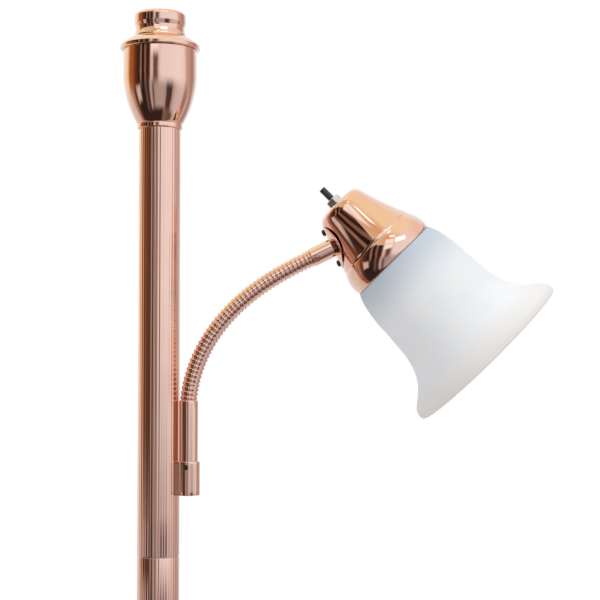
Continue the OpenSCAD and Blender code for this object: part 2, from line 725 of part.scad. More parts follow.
// Head ferrule: a bored tube square on the saddle plate, with a threaded end through the cup
module head_ferrule() {
    end_r = ferrule_end_d / 2;
    bead_r = arm_r + 0.05;
    bead_z = saddle_reach - ferrule_bead_w;
    bore_r = spigot_bore / 2;
    foot = saddle_seat + seat_gap;
    color(copper) difference() {
        at_flank() rotate_extrude() polygon(concat(
            [[bore_r, spigot_end], [spigot_d / 2, spigot_end], [spigot_d / 2, foot], [end_r, foot]],
            arc([end_r - ferrule_round / 2, bead_z - ferrule_round / 2], ferrule_round / 2, 0, 90, 4),
            [[bead_r - ferrule_groove, bead_z], [bead_r, bead_z + ferrule_groove]],
            arc([bead_r - ferrule_round, saddle_reach - ferrule_round], ferrule_round, 0, 90, 4),
            [[bore_r, saddle_reach]]
        ));
        at_ferrule_screw() cylinder(d = ferrule_screw_d + 2 * slip, h = ferrule_end_d);
    }
}
module at_ferrule_screw() {
    at_flank() translate([0, 0, saddle_reach - ferrule_screw_in]) {
        rotate([90, 0, -ferrule_screw_turn]) children();
    }
}
module ferrule_screw() {
    root = spigot_bore / 2 + 0.5;
    color(copper) at_ferrule_screw() difference() {
        translate([0, 0, root]) cylinder(d = ferrule_screw_d, h = ferrule_end_d / 2 + 0.4 - root);
        translate([-ferrule_screw_d, -0.3, ferrule_end_d / 2 - 0.2]) cube([2 * ferrule_screw_d, 0.6, 2]);
    }
}
module ferrule_nut() {
    color(steel) at_flank() translate([0, 0, spigot_nut_z]) {
        hex_nut(spigot_nut_af, spigot_nut_t, spigot_d / 2 + slip);
    }
}

// Holes for the ferrule's spigot and the two screws, through the saddle plate, the cup and the backing plate
module drill(r) { translate([0, 0, -cup_r / 2]) cylinder(r = r, h = cup_r); }
module saddle_holes() {
    drill(spigot_d / 2 + slip);
    at_saddle_screws() drill(saddle_screw_d / 2 + slip);
}

// Saddle plate: a disc bent round the cup, touching it along the middle
module saddle_plate() {
    centre = seat_gap - saddle_bend_r;
    color(copper) at_flank() difference() {
        intersection() {
            translate([-saddle_d / 2, 0, centre]) rotate([0, 90, 0]) {
                tube(saddle_bend_r + saddle_t, saddle_bend_r, saddle_d);
            }
            translate([0, 0, -saddle_d / 2]) cylinder(d = saddle_d, h = saddle_d);
        }
        saddle_holes();
    }
}
module saddle_backing() {
    length = saddle_pitch + 2 * saddle_screw_d;
    color(steel) at_flank() difference() {
        translate([-length / 2, -backing_w / 2, backing_z - backing_t]) cube([length, backing_w, backing_t]);
        saddle_holes();
    }
}
module saddle_screws() {
    foot = backing_z - backing_t - 0.5;
    top = saddle_seat + seat_gap;
    color(black) at_flank() at_saddle_screws() {
        translate([0, 0, foot]) cylinder(d = saddle_screw_d, h = top - foot + 0.1);
        translate([0, 0, top]) rotate_extrude() polygon(concat(
            [[0, 0], [saddle_head_d / 2, 0], [saddle_head_d / 2, saddle_head_h / 3]],
            [for (a = [18:18:90]) [saddle_head_d / 2 * cos(a), saddle_head_h * (1 + 2 * sin(a)) / 3]]
        ));
    }
}

// Lamp cup: flat back, rounded edge, flared flank, a step and a rounded skirt
function cup_line() = let (
    flat_r = cup_r - cup_round * tan((90 - cup_flare) / 2), neck_r = step_r + step_out,
    swell = skirt_d / 2 - neck_r, run = skirt_z - skirt_start
) concat(
    [[bushing_r + slip, 0], [flat_r - 1, 0]],
    arc([flat_r, cup_round], cup_round, -90, -cup_flare, 5),
    [[step_r, cup_step_z]],
    [for (i = [0:6]) [neck_r + swell * sin(15 * i), skirt_start + run * i / 6]],
    [for (i = [1:3]) [skirt_d / 2 - skirt_draw * pow(i / 3, 2), skirt_z + skirt_end * i / 3]]
);
module lamp_cup() {
    color(copper) difference() {
        at_head() rotate_extrude() polygon(wall(cup_line(), cup_wall));
        at_flank() saddle_holes();
    }
}
module carrier_plate() {
    color(steel) at_head() translate([0, 0, carrier_z]) tube(carrier_r, ring_r, carrier_t);
}

// Switch on the cup's back: body inside, bushing through the wall, nut and knob outside
module switch_body() {
    color(black) at_head() translate([0, 0, switch_z + 1]) difference() {
        cylinder(d = switch_d, h = switch_len);
        translate([0, 0, -1]) cylinder(r = spindle_r + slip, h = switch_len);
    }
}
module switch_bushing() {
    color(nickel) at_head() difference() {
        union() {
            translate([0, 0, switch_z]) cylinder(r = bushing_r + 3, h = 1 - seat_gap);
            translate([0, 0, -bushing_len]) cylinder(r = bushing_r, h = bushing_len + switch_z + 0.5);
        }
        translate([0, 0, -bushing_len - 1]) cylinder(r = spindle_r + slip, h = bushing_len + switch_z + 4);
    }
}
module switch_nut() {
    nut_z = -switch_nut_t - seat_gap;
    color(nickel) at_head() translate([0, 0, nut_z]) hex_nut(switch_nut_af, switch_nut_t, bushing_r + slip);
}
module switch_knob() {
    edge = knob_d / 12;
    color(black) at_head() {
        translate([0, 0, knob_z - knob_len]) rotate_extrude() polygon([
            [0, 0], [knob_d / 2 - edge, 0], [knob_d / 2, edge],
            [knob_d / 2, knob_len - edge], [knob_d / 2 - edge, knob_len], [0, knob_len]
        ]);
        translate([0, 0, knob_z - 1]) cylinder(r = spindle_r, h = switch_len / 2 - knob_z);
    }
}

// Daughter lampholder, clamped with the glass on the carrier plate
module daughter_holder() { color(black) at_head() translate([0, 0, daughter_base]) holder(); }
module daughter_screw_shell() { color(brass) at_head() translate([0, 0, daughter_base]) screw_shell(); }
module daughter_contact() { color(brass) at_head() translate([0, 0, daughter_base]) contact(); }
module shade_ring() {
    color(black) at_head() translate([0, 0, shade_ring_z]) tube(ring_r + shade_ring_wall, ring_r, ring_h);
}

// Glass: a flat neck on the carrier, a crown inside the skirt, then the bell, its flare and its rounded lip
function glass_line() = let (
    neck_r = skirt_d / 2 - skirt_draw - cup_wall - glass_room, crown_r = step_r - cup_wall - glass_room - 3,
    bell_r = bell_d / 2, waist_r = waist_d / 2, rim_r = mouth_d / 2,
    crown_h = cup_len - glass_z, bell_h = bell_z - cup_len,
    flare_h = mouth_z - mouth_roll - flare_z, widening = 0.16 * (rim_r - waist_r),
    flare = [
        [waist_r, flare_z], [waist_r + widening, flare_z + flare_hold * flare_h],
        [rim_r, flare_z + (1 - lip_turn) * flare_h], [rim_r, flare_z + flare_h]
    ]
) concat(
    [[glass_hole_r, glass_z]],
    [for (i = [0:6]) [crown_r + (neck_r - crown_r) * sin(15 * i), glass_z + crown_h * (1 - cos(15 * i))]],
    [for (i = [1:9]) [neck_r + (bell_r - neck_r) * pow(sin(10 * i), 0.6), cup_len + bell_h * i / 9]],
    [for (i = [0:14]) bezier(flare, i / 14)],
    [[rim_r, mouth_z - glass_t / 2]]
);
module glass_shade() {
    lip = glass_t / 2;
    line = glass_line();
    color(frosted) at_head() rotate_extrude() polygon(concat(
        line, arc([mouth_d / 2 - lip, mouth_z - lip], lip, 30, 150, 4), back(moved(line, glass_t))
    ));
}

base_pad();
base_weight();
base_cover();
cord_grommet();
foot_plug();
foot_collar();
pole_section(1);  // pole_section_1
pole_section(2);  // pole_section_2
pole_section(3);  // pole_section_3
pole_section_4();
pole_coupler(1);  // pole_coupler_1
pole_coupler(2);  // pole_coupler_2
pole_coupler(3);  // pole_coupler_3
top_plug();
hollow_studs();
lock_nuts();
washers();
urn_cup();
brim_cap();
drum_collar();
mother_holder();
mother_screw_shell();
mother_contact();
mother_ring();
arm_hub();
hub_nipple();
hub_grub_screw();
lower_ferrule();
link(1);  // gooseneck_01
link(2);  // gooseneck_02
link(3);  // gooseneck_03
link(4);  // gooseneck_04
link(5);  // gooseneck_05
link(6);  // gooseneck_06
link(7);  // gooseneck_07
link(8);  // gooseneck_08
link(9);  // gooseneck_09
link(10);  // gooseneck_10
link(11);  // gooseneck_11
link(12);  // gooseneck_12
link(13);  // gooseneck_13
link(14);  // gooseneck_14
head_ferrule();
ferrule_screw();
ferrule_nut();
saddle_plate();
saddle_backing();
saddle_screws();
lamp_cup();
switch_body();
switch_bushing();
switch_nut();
switch_knob();
carrier_plate();
daughter_holder();
daughter_screw_shell();
daughter_contact();
shade_ring();
glass_shade();
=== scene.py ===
"""Looks of a mother and daughter floor lamp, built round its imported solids.

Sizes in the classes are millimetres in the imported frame: +Z up, the origin on the floor at the pole's
axis, and the arm bending towards +X. Meshes are written in metres. An Outline is an array of (r, z)
points, shape (n, 2), and a Grid is an array of points, shape (rows, columns, 3).
"""

from __future__ import annotations

import json
import logging
import math
from dataclasses import dataclass
from enum import Enum

import bmesh
import bpy
import numpy as np
from mathutils import Matrix

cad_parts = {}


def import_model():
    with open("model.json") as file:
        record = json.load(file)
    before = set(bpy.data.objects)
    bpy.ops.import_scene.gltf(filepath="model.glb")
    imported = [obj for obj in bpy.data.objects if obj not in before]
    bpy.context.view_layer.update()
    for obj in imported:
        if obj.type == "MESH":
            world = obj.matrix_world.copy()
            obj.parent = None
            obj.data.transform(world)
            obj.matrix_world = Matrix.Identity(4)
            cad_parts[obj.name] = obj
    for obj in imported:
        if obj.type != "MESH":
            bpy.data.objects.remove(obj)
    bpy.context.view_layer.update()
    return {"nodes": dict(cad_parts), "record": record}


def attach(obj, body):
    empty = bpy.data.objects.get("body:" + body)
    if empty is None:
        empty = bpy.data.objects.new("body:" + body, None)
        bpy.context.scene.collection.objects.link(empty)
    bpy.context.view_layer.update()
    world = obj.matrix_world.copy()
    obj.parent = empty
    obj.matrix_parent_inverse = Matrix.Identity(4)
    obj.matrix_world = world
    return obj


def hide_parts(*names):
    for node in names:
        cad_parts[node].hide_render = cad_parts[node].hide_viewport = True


log = logging.getLogger("floor_lamp")
MM = 0.001
# Widths of a broken edge and of a barely broken one, and the angle above which an edge is drawn sharp
EDGE = 0.3
FINE = 0.1
SHARP = 40.0
# Sizes that sub-assemblies share, with the plane that the arm lies in and the back of the lamp's cup
POLE_BORE = 17.55
SHEET = 1.2
STUD_HOLE = 5.05
SEAT = 0.05
ARM_PLANE = -5.4265
LAMP_ORIGIN = (148.791, ARM_PLANE, 1412.35)
WHITE = (1.0, 1.0, 1.0)
# Range that most of a noise lies in
NOISE_LOW = 0.3
NOISE_HIGH = 0.7
Array = np.ndarray
Outline = np.ndarray
Grid = np.ndarray
Colour = tuple[float, float, float]
Pair = tuple[float, float]
Point = tuple[float, float, float]
Tree = bpy.types.NodeTree
Node = bpy.types.Node
Socket = bpy.types.NodeSocket
Material = bpy.types.Material
Value = Socket | float | Point


class Slot(Enum):
    """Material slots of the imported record."""

    COPPER = "copper_plate"
    IRON = "cast_iron"
    FELT = "felt"
    RUBBER = "rubber"
    STEEL = "steel"
    NICKEL = "nickel"
    BLACK_STEEL = "black_steel"
    HOLDER = "holder_plastic"
    KNOB = "knob_plastic"
    BRASS = "brass"
    GLASS = "frosted_glass"


class Body(Enum):
    """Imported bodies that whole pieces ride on."""

    STAND = "stand"
    HEAD = "head"
    KNOB = "knob"


class Axis(Enum):
    """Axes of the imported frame."""

    X = 0
    Y = 1
    Z = 2


# Outline helpers


def curve(r: Array | float, z: Array | float) -> Outline:
    """An outline from its radii and heights, either of which may be one number."""
    return np.column_stack(np.broadcast_arrays(r, z))


def arc(centre: Pair, radius: float | Pair, first: float, last: float, steps: int) -> Outline:
    """An arc of a circle or of an upright ellipse, evenly spaced in angle.

    Args:
        centre: Centre of the arc.
        radius: Radius, or the radii along r and z.
        first: First angle in degrees, from +r towards +z.
        last: Last angle in degrees.
        steps: Number of steps.

    Returns:
        The arc's steps + 1 points.
    """
    angle = np.radians(np.linspace(first, last, steps + 1))
    return centre + radius * curve(np.cos(angle), np.sin(angle))


def low_corner(r: float, z: float, radius: float, steps: int) -> Outline:
    """A quarter round from the underside at height z up to the side at radius r."""
    return arc((r - radius, z + radius), radius, -90, 0, steps)


def high_corner(r: float, z: float, radius: float, steps: int, last: float = 90) -> Outline:
    """A round from the side at radius r over to the top at height z, or part of it."""
    return arc((r - radius, z - radius), radius, 0, last, steps)


def moved(line: Outline, distance: float) -> Outline:
    """An outline moved sideways by an even distance, with mitred corners.

    Each point goes along the mean of its two sides' left normals, scaled so both sides move by distance.

    Args:
        line: Outline to move.
        distance: Distance to the left of the direction of travel.

    Returns:
        The moved outline.
    """
    step = np.diff(line, axis=0)
    normal = curve(-step[:, 1], step[:, 0]) / np.linalg.norm(step, axis=1)[:, None]
    before = np.vstack([normal[:1], normal])
    after = np.vstack([normal, normal[-1:]])
    scale = 1 + np.sum(before * after, axis=1)
    return line + distance * (before + after) / scale[:, None]


def wall(line: Outline, thickness: float, bulge: float = 0.35) -> Outline:
    """A closed outline of even wall on the left of a line, with its two edges rounded.

    Args:
        line: Outer outline.
        thickness: Wall thickness.
        bulge: How far an edge is rounded, as a share of the thickness.

    Returns:
        The closed outline, without a repeated first point.
    """
    inner = moved(line, thickness)
    angle = np.radians(np.linspace(20, 160, 5))[:, None]
    ends = []
    for first, last, run in (
        (line[-1], inner[-1], line[-1] - line[-2]), (inner[0], line[0], line[0] - line[1]),
    ):
        out = run / np.linalg.norm(run) * thickness * bulge
        ends.append((first + last) / 2 + (first - last) / 2 * np.cos(angle) + out * (np.sin(angle) - 1))
    return np.vstack([line, ends[0], inner[::-1], ends[1]])


def eased(start: float, stop: float, share: Array, power: float = 1.0) -> Array:
    """Values from start to stop that rise as a power of a quarter sine of share (0 to 1)."""
    return start + (stop - start) * np.sin(share * math.pi / 2) ** power


def edge_round(radius: float, count: int) -> tuple[Array, Array]:
    """Rise and drawing-in of a quarter-round edge, from its foot to its side."""
    angle = np.radians(np.linspace(0, 90, count))
    return radius * (1 - np.cos(angle)), radius * (1 - np.sin(angle))


# Mesh helpers


def full_turn(columns: int) -> Array:
    """Evenly spaced angles round an axis, in radians."""
    return np.linspace(0, 2 * math.pi, columns, endpoint=False)


def spun(r: Array, z: Array, angle: Array) -> Grid:
    """A grid round the Z axis from radii, heights and angles that are spread over one another."""
    return np.stack(np.broadcast_arrays(r * np.cos(angle), r * np.sin(angle), z), axis=-1)


def turned(outline: Outline, columns: int) -> Grid:
    """An outline turned about the Z axis, with a number of points round it."""
    return spun(outline[:, :1], outline[:, 1:], full_turn(columns))


def grid_object(
    name: str, grid: Grid, wrap_rows: bool, wrap_columns: bool = True, sharp: float = SHARP
) -> bpy.types.Object:
    """A mesh object from a grid in millimetres, joined by quads.

    Doubled points at poles are merged, normals turn outwards, and edges above a limit stay sharp.

    Args:
        name: Name of the object and its mesh.
        grid: Points of the surface.
        wrap_rows: Whether the last row joins the first.
        wrap_columns: Whether the last column joins the first.
        sharp: Angle in degrees above which an edge is drawn sharp.

    Returns:
        The new object, linked to the scene.
    """
    rows, columns = grid.shape[:2]
    row = np.arange(rows if wrap_rows else rows - 1)
    column = np.arange(columns if wrap_columns else columns - 1)
    a, b = np.meshgrid(row, column, indexing="ij")
    up, side = (a + 1) % rows, (b + 1) % columns
    corners = [a * columns + b, a * columns + side, up * columns + side, up * columns + b]
    faces = np.stack([corner.ravel() for corner in corners], axis=1)
    mesh = bpy.data.meshes.new(name)
    mesh.from_pydata((grid.reshape(-1, 3) * MM).tolist(), [], faces.tolist())
    work = bmesh.new()
    work.from_mesh(mesh)
    bmesh.ops.remove_doubles(work, verts=work.verts, dist=1e-7)
    bmesh.ops.recalc_face_normals(work, faces=work.faces)
    work.to_mesh(mesh)
    work.free()
    mesh.shade_smooth()
    mesh.set_sharp_from_angle(angle=math.radians(sharp))
    piece = bpy.data.objects.new(name, mesh)
    bpy.context.scene.collection.objects.link(piece)
    return piece


@dataclass(frozen=True)
class Place:
    """A rigid place: a turn and then a shift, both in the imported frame."""

    turn: Array
    shift: Array | Point

    def put(self, grid: Grid) -> Grid:
        """A grid carried to this place."""
        return grid @ self.turn.T + self.shift

    def within(self, inner: Place) -> Place:
        """A place that is given in this place's own axes."""
        return Place(self.turn @ inner.turn, self.turn @ inner.shift + self.shift)


def turn(axis: Axis, degrees: float) -> Array:
    """Rotation matrix about an axis of the frame.

    Args:
        axis: Axis to turn about.
        degrees: Angle, right-handed.

    Returns:
        Matrix of shape (3, 3).
    """
    first, second = (axis.value + 1) % 3, (axis.value + 2) % 3
    matrix = np.eye(3)
    matrix[first, first] = matrix[second, second] = math.cos(math.radians(degrees))
    matrix[second, first] = math.sin(math.radians(degrees))
    matrix[first, second] = -matrix[second, first]
    return matrix


def lifted(height: float) -> Place:
    """A place straight above the origin."""
    return Place(np.eye(3), (0.0, 0.0, height))


# Shader nodes


def wired(tree: Tree, kind: str, inputs: dict[str | int, Value], **settings: object) -> Node:
    """A shader node with its settings made and its inputs linked or set.

    Args:
        tree: Tree that gets the node.
        kind: Its type, without the word ShaderNode.
        inputs: Sockets, numbers or colours by input.
        settings: Properties of the node, set first because some change its inputs.

    Returns:
        The new node.
    """
    node = tree.nodes.new(f"ShaderNode{kind}")
    for label, value in settings.items():
        setattr(node, label, value)
    for label, value in inputs.items():
        if isinstance(value, Socket):
            tree.links.new(value, node.inputs[label])
        elif node.inputs[label].type == "RGBA":
            node.inputs[label].default_value = (*value, 1)
        else:
            node.inputs[label].default_value = value
    return node


def worked(tree: Tree, operation: str, *values: Value, kind: str = "Math") -> Socket:
    """First result of a Math or VectorMath node on sockets and plain values."""
    return wired(tree, kind, dict(enumerate(values)), operation=operation).outputs[0]


def noise(tree: Tree, vector: Socket, scale: Socket | float, detail: float) -> Node:
    """A noise texture on a vector."""
    return wired(tree, "TexNoise", {"Vector": vector, "Scale": scale, "Detail": detail})


def spread(
    tree: Tree, value: Socket, start: float, stop: float,
    low: float = 0, high: float = 1, smooth: bool = False,
) -> Socket:
    """A value carried from one range to another and held at the ends.

    Args:
        tree: Tree that gets the node.
        value: Socket with the value.
        start: Value that gives low.
        stop: Value that gives high.
        low: Result at start.
        high: Result at stop.
        smooth: Whether the result eases in and out.

    Returns:
        The result's socket.
    """
    inputs = {"Value": value, "From Min": start, "From Max": stop, "To Min": low, "To Max": high}
    course = "SMOOTHSTEP" if smooth else "LINEAR"
    return wired(tree, "MapRange", inputs, interpolation_type=course).outputs["Result"]


def mixed(tree: Tree, share: Socket, under: Socket | Colour, over: Socket | Colour) -> Socket:
    """Two colours mixed by a share of the one laid over."""
    return wired(tree, "Mix", {"Factor": share, "A": under, "B": over}, data_type="RGBA").outputs["Result"]


class Effect(Enum):
    """Shared effects: name, the shade's scale and octaves, and the scale of a ripple beside the grain."""

    PLATED = ("plating_film", 38, 4, 60)
    MOULDED = ("moulded_grain", 55, 3, None)

    def group(self) -> Tree:
        """The effect as a node group, built at its first use.

        Shade and grain are noises, their middle range stretched to 0 to 1. Relief is a noise times a height.

        Returns:
            The group, with outputs Shade, Grain and Relief (in metres).
        """
        name, scale, octaves, ripple = self.value
        tree = bpy.data.node_groups.get(name)
        if tree:
            return tree
        tree = bpy.data.node_groups.new(name, "ShaderNodeTree")
        for label, kind in {"Vector": "Vector", "Grain Scale": "Float", "Relief Height": "Float"}.items():
            tree.interface.new_socket(label, in_out="INPUT", socket_type=f"NodeSocket{kind}")
        given = tree.nodes.new("NodeGroupInput").outputs
        shade = noise(tree, given["Vector"], scale, octaves).outputs["Fac"]
        grain = noise(tree, given["Vector"], given["Grain Scale"], 3).outputs["Fac"]
        bump = noise(tree, given["Vector"], ripple, 1).outputs["Fac"] if ripple else grain
        results = {
            "Shade": spread(tree, shade, NOISE_LOW, NOISE_HIGH),
            "Grain": spread(tree, grain, NOISE_LOW, NOISE_HIGH),
            "Relief": worked(tree, "MULTIPLY", bump, given["Relief Height"]),
        }
        for label in results:
            tree.interface.new_socket(label, in_out="OUTPUT", socket_type="NodeSocketFloat")
        out = tree.nodes.new("NodeGroupOutput")
        for label, value in results.items():
            tree.links.new(value, out.inputs[label])
        return tree


@dataclass(frozen=True)
class Finish:
    """Polished or satin metal: two shades, two roughnesses and a relief, each by a noise of its effect."""

    slot: Slot
    low: Colour
    high: Colour
    smooth: float
    rough: float
    relief: float = 0.00001
    grain: float = 170.0
    metallic: float = 1.0
    sheen: float = 0.0
    bump: float = 0.35
    effect: Effect = Effect.PLATED

    def material(self) -> Material:
        """Builds the material on Object coordinates.

        Returns:
            The new material.
        """
        material = bpy.data.materials.new(self.slot.value)
        material.use_nodes = True
        tree = material.node_tree
        shader = tree.nodes["Principled BSDF"].inputs
        place = wired(tree, "TexCoord", {}).outputs["Object"]
        inputs = {"Vector": place, "Grain Scale": self.grain, "Relief Height": self.relief}
        effect = wired(tree, "Group", inputs, node_tree=self.effect.group()).outputs
        shader["Metallic"].default_value = self.metallic
        shader["Sheen Weight"].default_value = self.sheen
        colour = self.painted_light(tree, mixed(tree, effect["Shade"], self.low, self.high), place)
        bump = wired(tree, "Bump", {"Height": effect["Relief"], "Strength": self.bump, "Distance": 1.0})
        tree.links.new(colour, shader["Base Color"])
        tree.links.new(spread(tree, effect["Grain"], 0, 1, self.smooth, self.rough), shader["Roughness"])
        tree.links.new(bump.outputs["Normal"], shader["Normal"])
        return material

    def painted_light(self, tree: Tree, colour: Socket, place: Socket) -> Socket:
        """The base colour as it is, because plain finishes have no painted shade or light."""
        return colour


@dataclass(frozen=True)
class MouldedFinish(Finish):
    """Plastic, rubber, felt or raw casting with a grain of its own scale."""

    metallic: float = 0.0
    bump: float = 0.6
    effect: Effect = Effect.MOULDED


@dataclass(frozen=True)
class FrostedFinish(MouldedFinish):
    """Acid-frosted glass: pale and cloudy, with painted shade at its neck and painted warm light at its rim.
    """

    bump: float = 0.3
    # Painted shade: a darker blue-grey laid on the neck near the cup, where the dark inside shows through
    neck: Colour = (0.50, 0.56, 0.62)
    neck_shade_from: float = 0.108
    neck_shade_to: float = 0.064
    # Painted light: a warm tone laid over the rim of the glass
    rim: Colour = (0.80, 0.77, 0.745)
    rim_light_from: float = 0.150
    rim_light_to: float = 0.176
    ior: float = 1.45
    direction: Point = (0.70711, 0.0, -0.70711)

    def material(self) -> Material:
        """Builds the material and sets the glass's index."""
        material = super().material()
        material.node_tree.nodes["Principled BSDF"].inputs["IOR"].default_value = self.ior
        return material

    def painted_light(self, tree: Tree, colour: Socket, place: Socket) -> Socket:
        """Lays painted shade on the neck and painted warm light on the rim, by distance along the lamp's
        axis.

        Args:
            tree: Tree of the material.
            colour: Base colour so far.
            place: Socket with Object coordinates.

        Returns:
            The colour's socket, with the painted shade and light laid on.
        """
        origin = tuple(value * MM for value in LAMP_ORIGIN)
        away = worked(tree, "SUBTRACT", place, origin, kind="VectorMath")
        dot = wired(tree, "VectorMath", {0: away, 1: self.direction}, operation="DOT_PRODUCT")
        along = dot.outputs["Value"]
        # Painted shade on the neck first, then painted warm light on the rim
        for start, stop, painted_tone in (
            (self.neck_shade_from, self.neck_shade_to, self.neck), (self.rim_light_from, self.rim_light_to, self.rim),
        ):
            colour = mixed(tree, spread(tree, along, start, stop, smooth=True), colour, painted_tone)
        return colour


FINISHES = (
    Finish(Slot.COPPER, (0.93, 0.56, 0.42), (0.90, 0.53, 0.39), 0.03, 0.06, 0.00002),
    Finish(Slot.NICKEL, (0.82, 0.74, 0.66), (0.75, 0.68, 0.61), 0.34, 0.48),
    Finish(Slot.STEEL, (0.58, 0.58, 0.59), (0.47, 0.48, 0.50), 0.28, 0.42),
    Finish(Slot.BRASS, (0.83, 0.64, 0.30), (0.70, 0.50, 0.22), 0.16, 0.30),
    MouldedFinish(Slot.IRON, (0.055, 0.055, 0.06), (0.10, 0.10, 0.105), 0.55, 0.75, 0.0002, 500, 0.6),
    MouldedFinish(Slot.FELT, (0.018, 0.018, 0.02), (0.035, 0.034, 0.036), 0.85, 0.98, 3e-4, 1600, sheen=0.5),
    MouldedFinish(Slot.RUBBER, (0.018, 0.018, 0.019), (0.030, 0.030, 0.032), 0.5, 0.68, 0.00004, 1100),
    MouldedFinish(Slot.BLACK_STEEL, (0.014, 0.014, 0.015), (0.030, 0.029, 0.030), 0.3, 0.45, 0.00002, 1500),
    MouldedFinish(Slot.HOLDER, (0.026, 0.026, 0.027), (0.045, 0.044, 0.045), 0.36, 0.5, 0.00003, 1200),
    MouldedFinish(Slot.KNOB, (0.022, 0.022, 0.026), (0.036, 0.036, 0.041), 0.3, 0.44, 0.00002, 1500),
    FrostedFinish(Slot.GLASS, (0.84, 0.84, 0.845), (0.80, 0.825, 0.86), 0.5, 0.62, 0.000012, 1400),
)


def dress(piece: bpy.types.Object, material: Material) -> None:
    """Gives a piece one finish over all of it."""
    piece.data.materials.clear()
    piece.data.materials.append(material)


@dataclass
class Assembly:
    """What every sub-assembly shares: the finishes, a body to ride on, and adding a finished piece."""

    palette: dict[Slot, Material]
    body: Body = Body.STAND

    def add(
        self, name: str, node: str, grid: Grid, slot: Slot = Slot.COPPER, body: str = "",
        closed: bool = True, sharp: float = SHARP,
    ) -> None:
        """Makes a piece, dresses it, seats it on a body and hides the solid that it stands for.

        Args:
            name: Name of the piece.
            node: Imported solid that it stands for.
            grid: Points of its surface.
            slot: Slot of its finish.
            body: Body it rides on, if that isn't the sub-assembly's.
            closed: Whether the grid's last row joins its first.
            sharp: Angle in degrees above which an edge is drawn sharp.
        """
        piece = grid_object(name, grid, closed, sharp=sharp)
        carrier = body or self.body.value
        dress(piece, self.palette[slot])
        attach(piece, carrier)
        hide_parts(node)
        log.info("%s stands for %s on %s", name, node, carrier)


@dataclass
class WeightedBase(Assembly):
    """Pressed base cover, foot collar and the rubber grommet for the cord."""

    radius: float = 140.0
    lift: float = 1.0
    rim_height: float = 14.0
    shoulder: float = 7.0
    shoulder_sweep: float = 83.0
    slope_power: float = 1.35
    height: float = 30.0
    flat: float = 42.0
    skin: float = SHEET
    hole: float = STUD_HOLE
    collar_radius: float = 26.0
    collar_height: float = 14.0
    collar_foot: float = 2.0
    collar_edge: float = 1.4
    collar_bore: float = POLE_BORE
    cord_height: float = 8.0
    cord_radius: float = 3.4
    cord_ease: float = 0.4
    sleeve: float = 4.4
    sleeve_room: float = 0.15
    flange: float = 5.6
    flange_round: float = 1.0

    def cover_line(self) -> Outline:
        """Outer line of the cover: upright rim, rounded shoulder, slope and flat middle.

        Returns:
            The line from the rim's foot to the hole.
        """
        top = self.rim_height + self.shoulder
        shoulder = high_corner(self.radius, top, self.shoulder, 28, self.shoulder_sweep)
        share = np.linspace(0, 1, 40)[1:]
        r, z = shoulder[-1]
        rise = (self.height - z) * (1 - (1 - share) ** self.slope_power)
        slope = curve(r + (self.flat - r) * share, z + rise)
        return np.vstack([(self.radius, self.lift), shoulder, slope, (self.hole, self.height)])

    def collar_line(self) -> Outline:
        """Outline of the collar: an upright foot, a cove that is a quarter ellipse and a thin top.

        Returns:
            The closed outline from the foot of the bore.
        """
        bore, outer, top = self.collar_bore, self.collar_radius, self.collar_height
        cove = arc((outer, top), (outer - bore - self.collar_edge, top - self.collar_foot), 270, 180, 23)
        foot = [(bore, 0), (outer - EDGE, 0), (outer, EDGE)]
        return np.vstack([foot, cove, [(bore + EDGE, top), (bore, top - EDGE)]])

    def grommet_line(self) -> Outline:
        """Outline of the grommet about its own axis: two half-round flanges and a sleeve between.

        Returns:
            The closed outline from the inner flange.
        """
        inner, outer, bend = self.radius - self.skin - self.sleeve_room, self.radius, self.flange_round
        back = arc((self.flange - bend, inner - bend), bend, -90, 90, 8)
        front = arc((self.flange - bend, outer + bend), bend, -90, 90, 8)
        low, high = inner - 2 * bend, outer + 2 * bend
        bore = [
            (self.cord_radius + self.cord_ease, high), (self.cord_radius, high - self.cord_ease),
            (self.cord_radius, low + self.cord_ease),
        ]
        return np.vstack([back, [(self.sleeve, inner), (self.sleeve, outer)], front, bore])

    def build(self) -> None:
        """Builds the three visible pieces of the base."""
        self.add("base_cover_pressing", "base_cover", turned(wall(self.cover_line(), self.skin), 192))
        collar = lifted(self.height + SEAT).put(turned(self.collar_line(), 128))
        self.add("foot_collar_cove", "foot_collar", collar)
        rim = Place(turn(Axis.X, -90), (0, 0, self.cord_height))
        grommet = rim.put(turned(self.grommet_line(), 64))
        self.add("cord_grommet_rubber", "cord_grommet", grommet, Slot.RUBBER)


@dataclass
class ReededPole(Assembly):
    """Four reeded tubes that stand end to end on thin seam rings."""

    sections: int = 4
    first_height: float = 32.0
    length: float = 362.0
    pitch: float = 362.6
    reeds: int = 36
    ring: float = 12.9
    reed: float = 4.6
    bore: float = 16.11
    ease: float = 0.35
    points_per_reed: int = 14

    def outline(self) -> Array:
        """Outer radius round the pole: the envelope of circles set on a ring, as polar points.

        Returns:
            Radii, one for each column of the grid.
        """
        column = np.arange(self.reeds * self.points_per_reed)
        off = (column / self.points_per_reed % 1 - 0.5) * 2 * math.pi / self.reeds
        return self.ring * np.cos(off) + np.sqrt(self.reed**2 - (self.ring * np.sin(off)) ** 2)

    def tube(self, height: float) -> Grid:
        """One section: bore and reeds joined over eased ends.

        Args:
            height: Height of the section's foot.

        Returns:
            The grid, with rows up the reeds and back down the bore.
        """
        radius = self.outline()
        rise, drawn = edge_round(self.ease, 6)
        straight = np.linspace(self.ease, self.length - self.ease, 12)[1:-1]
        z = np.concatenate([rise, straight, self.length - rise[::-1], [self.length, 0]]) + height
        back = np.concatenate([drawn, 0 * straight, drawn[::-1]])
        r = np.vstack([radius - back[:, None], np.full((2, radius.size), self.bore)])
        return spun(r, z[:, None], full_turn(radius.size) + math.pi / self.reeds)

    def build(self) -> None:
        """Builds the four sections."""
        for number in range(self.sections):
            name = f"pole_section_{number + 1}"
            self.add(f"{name}_reeds", name, self.tube(self.first_height + number * self.pitch), sharp=50)


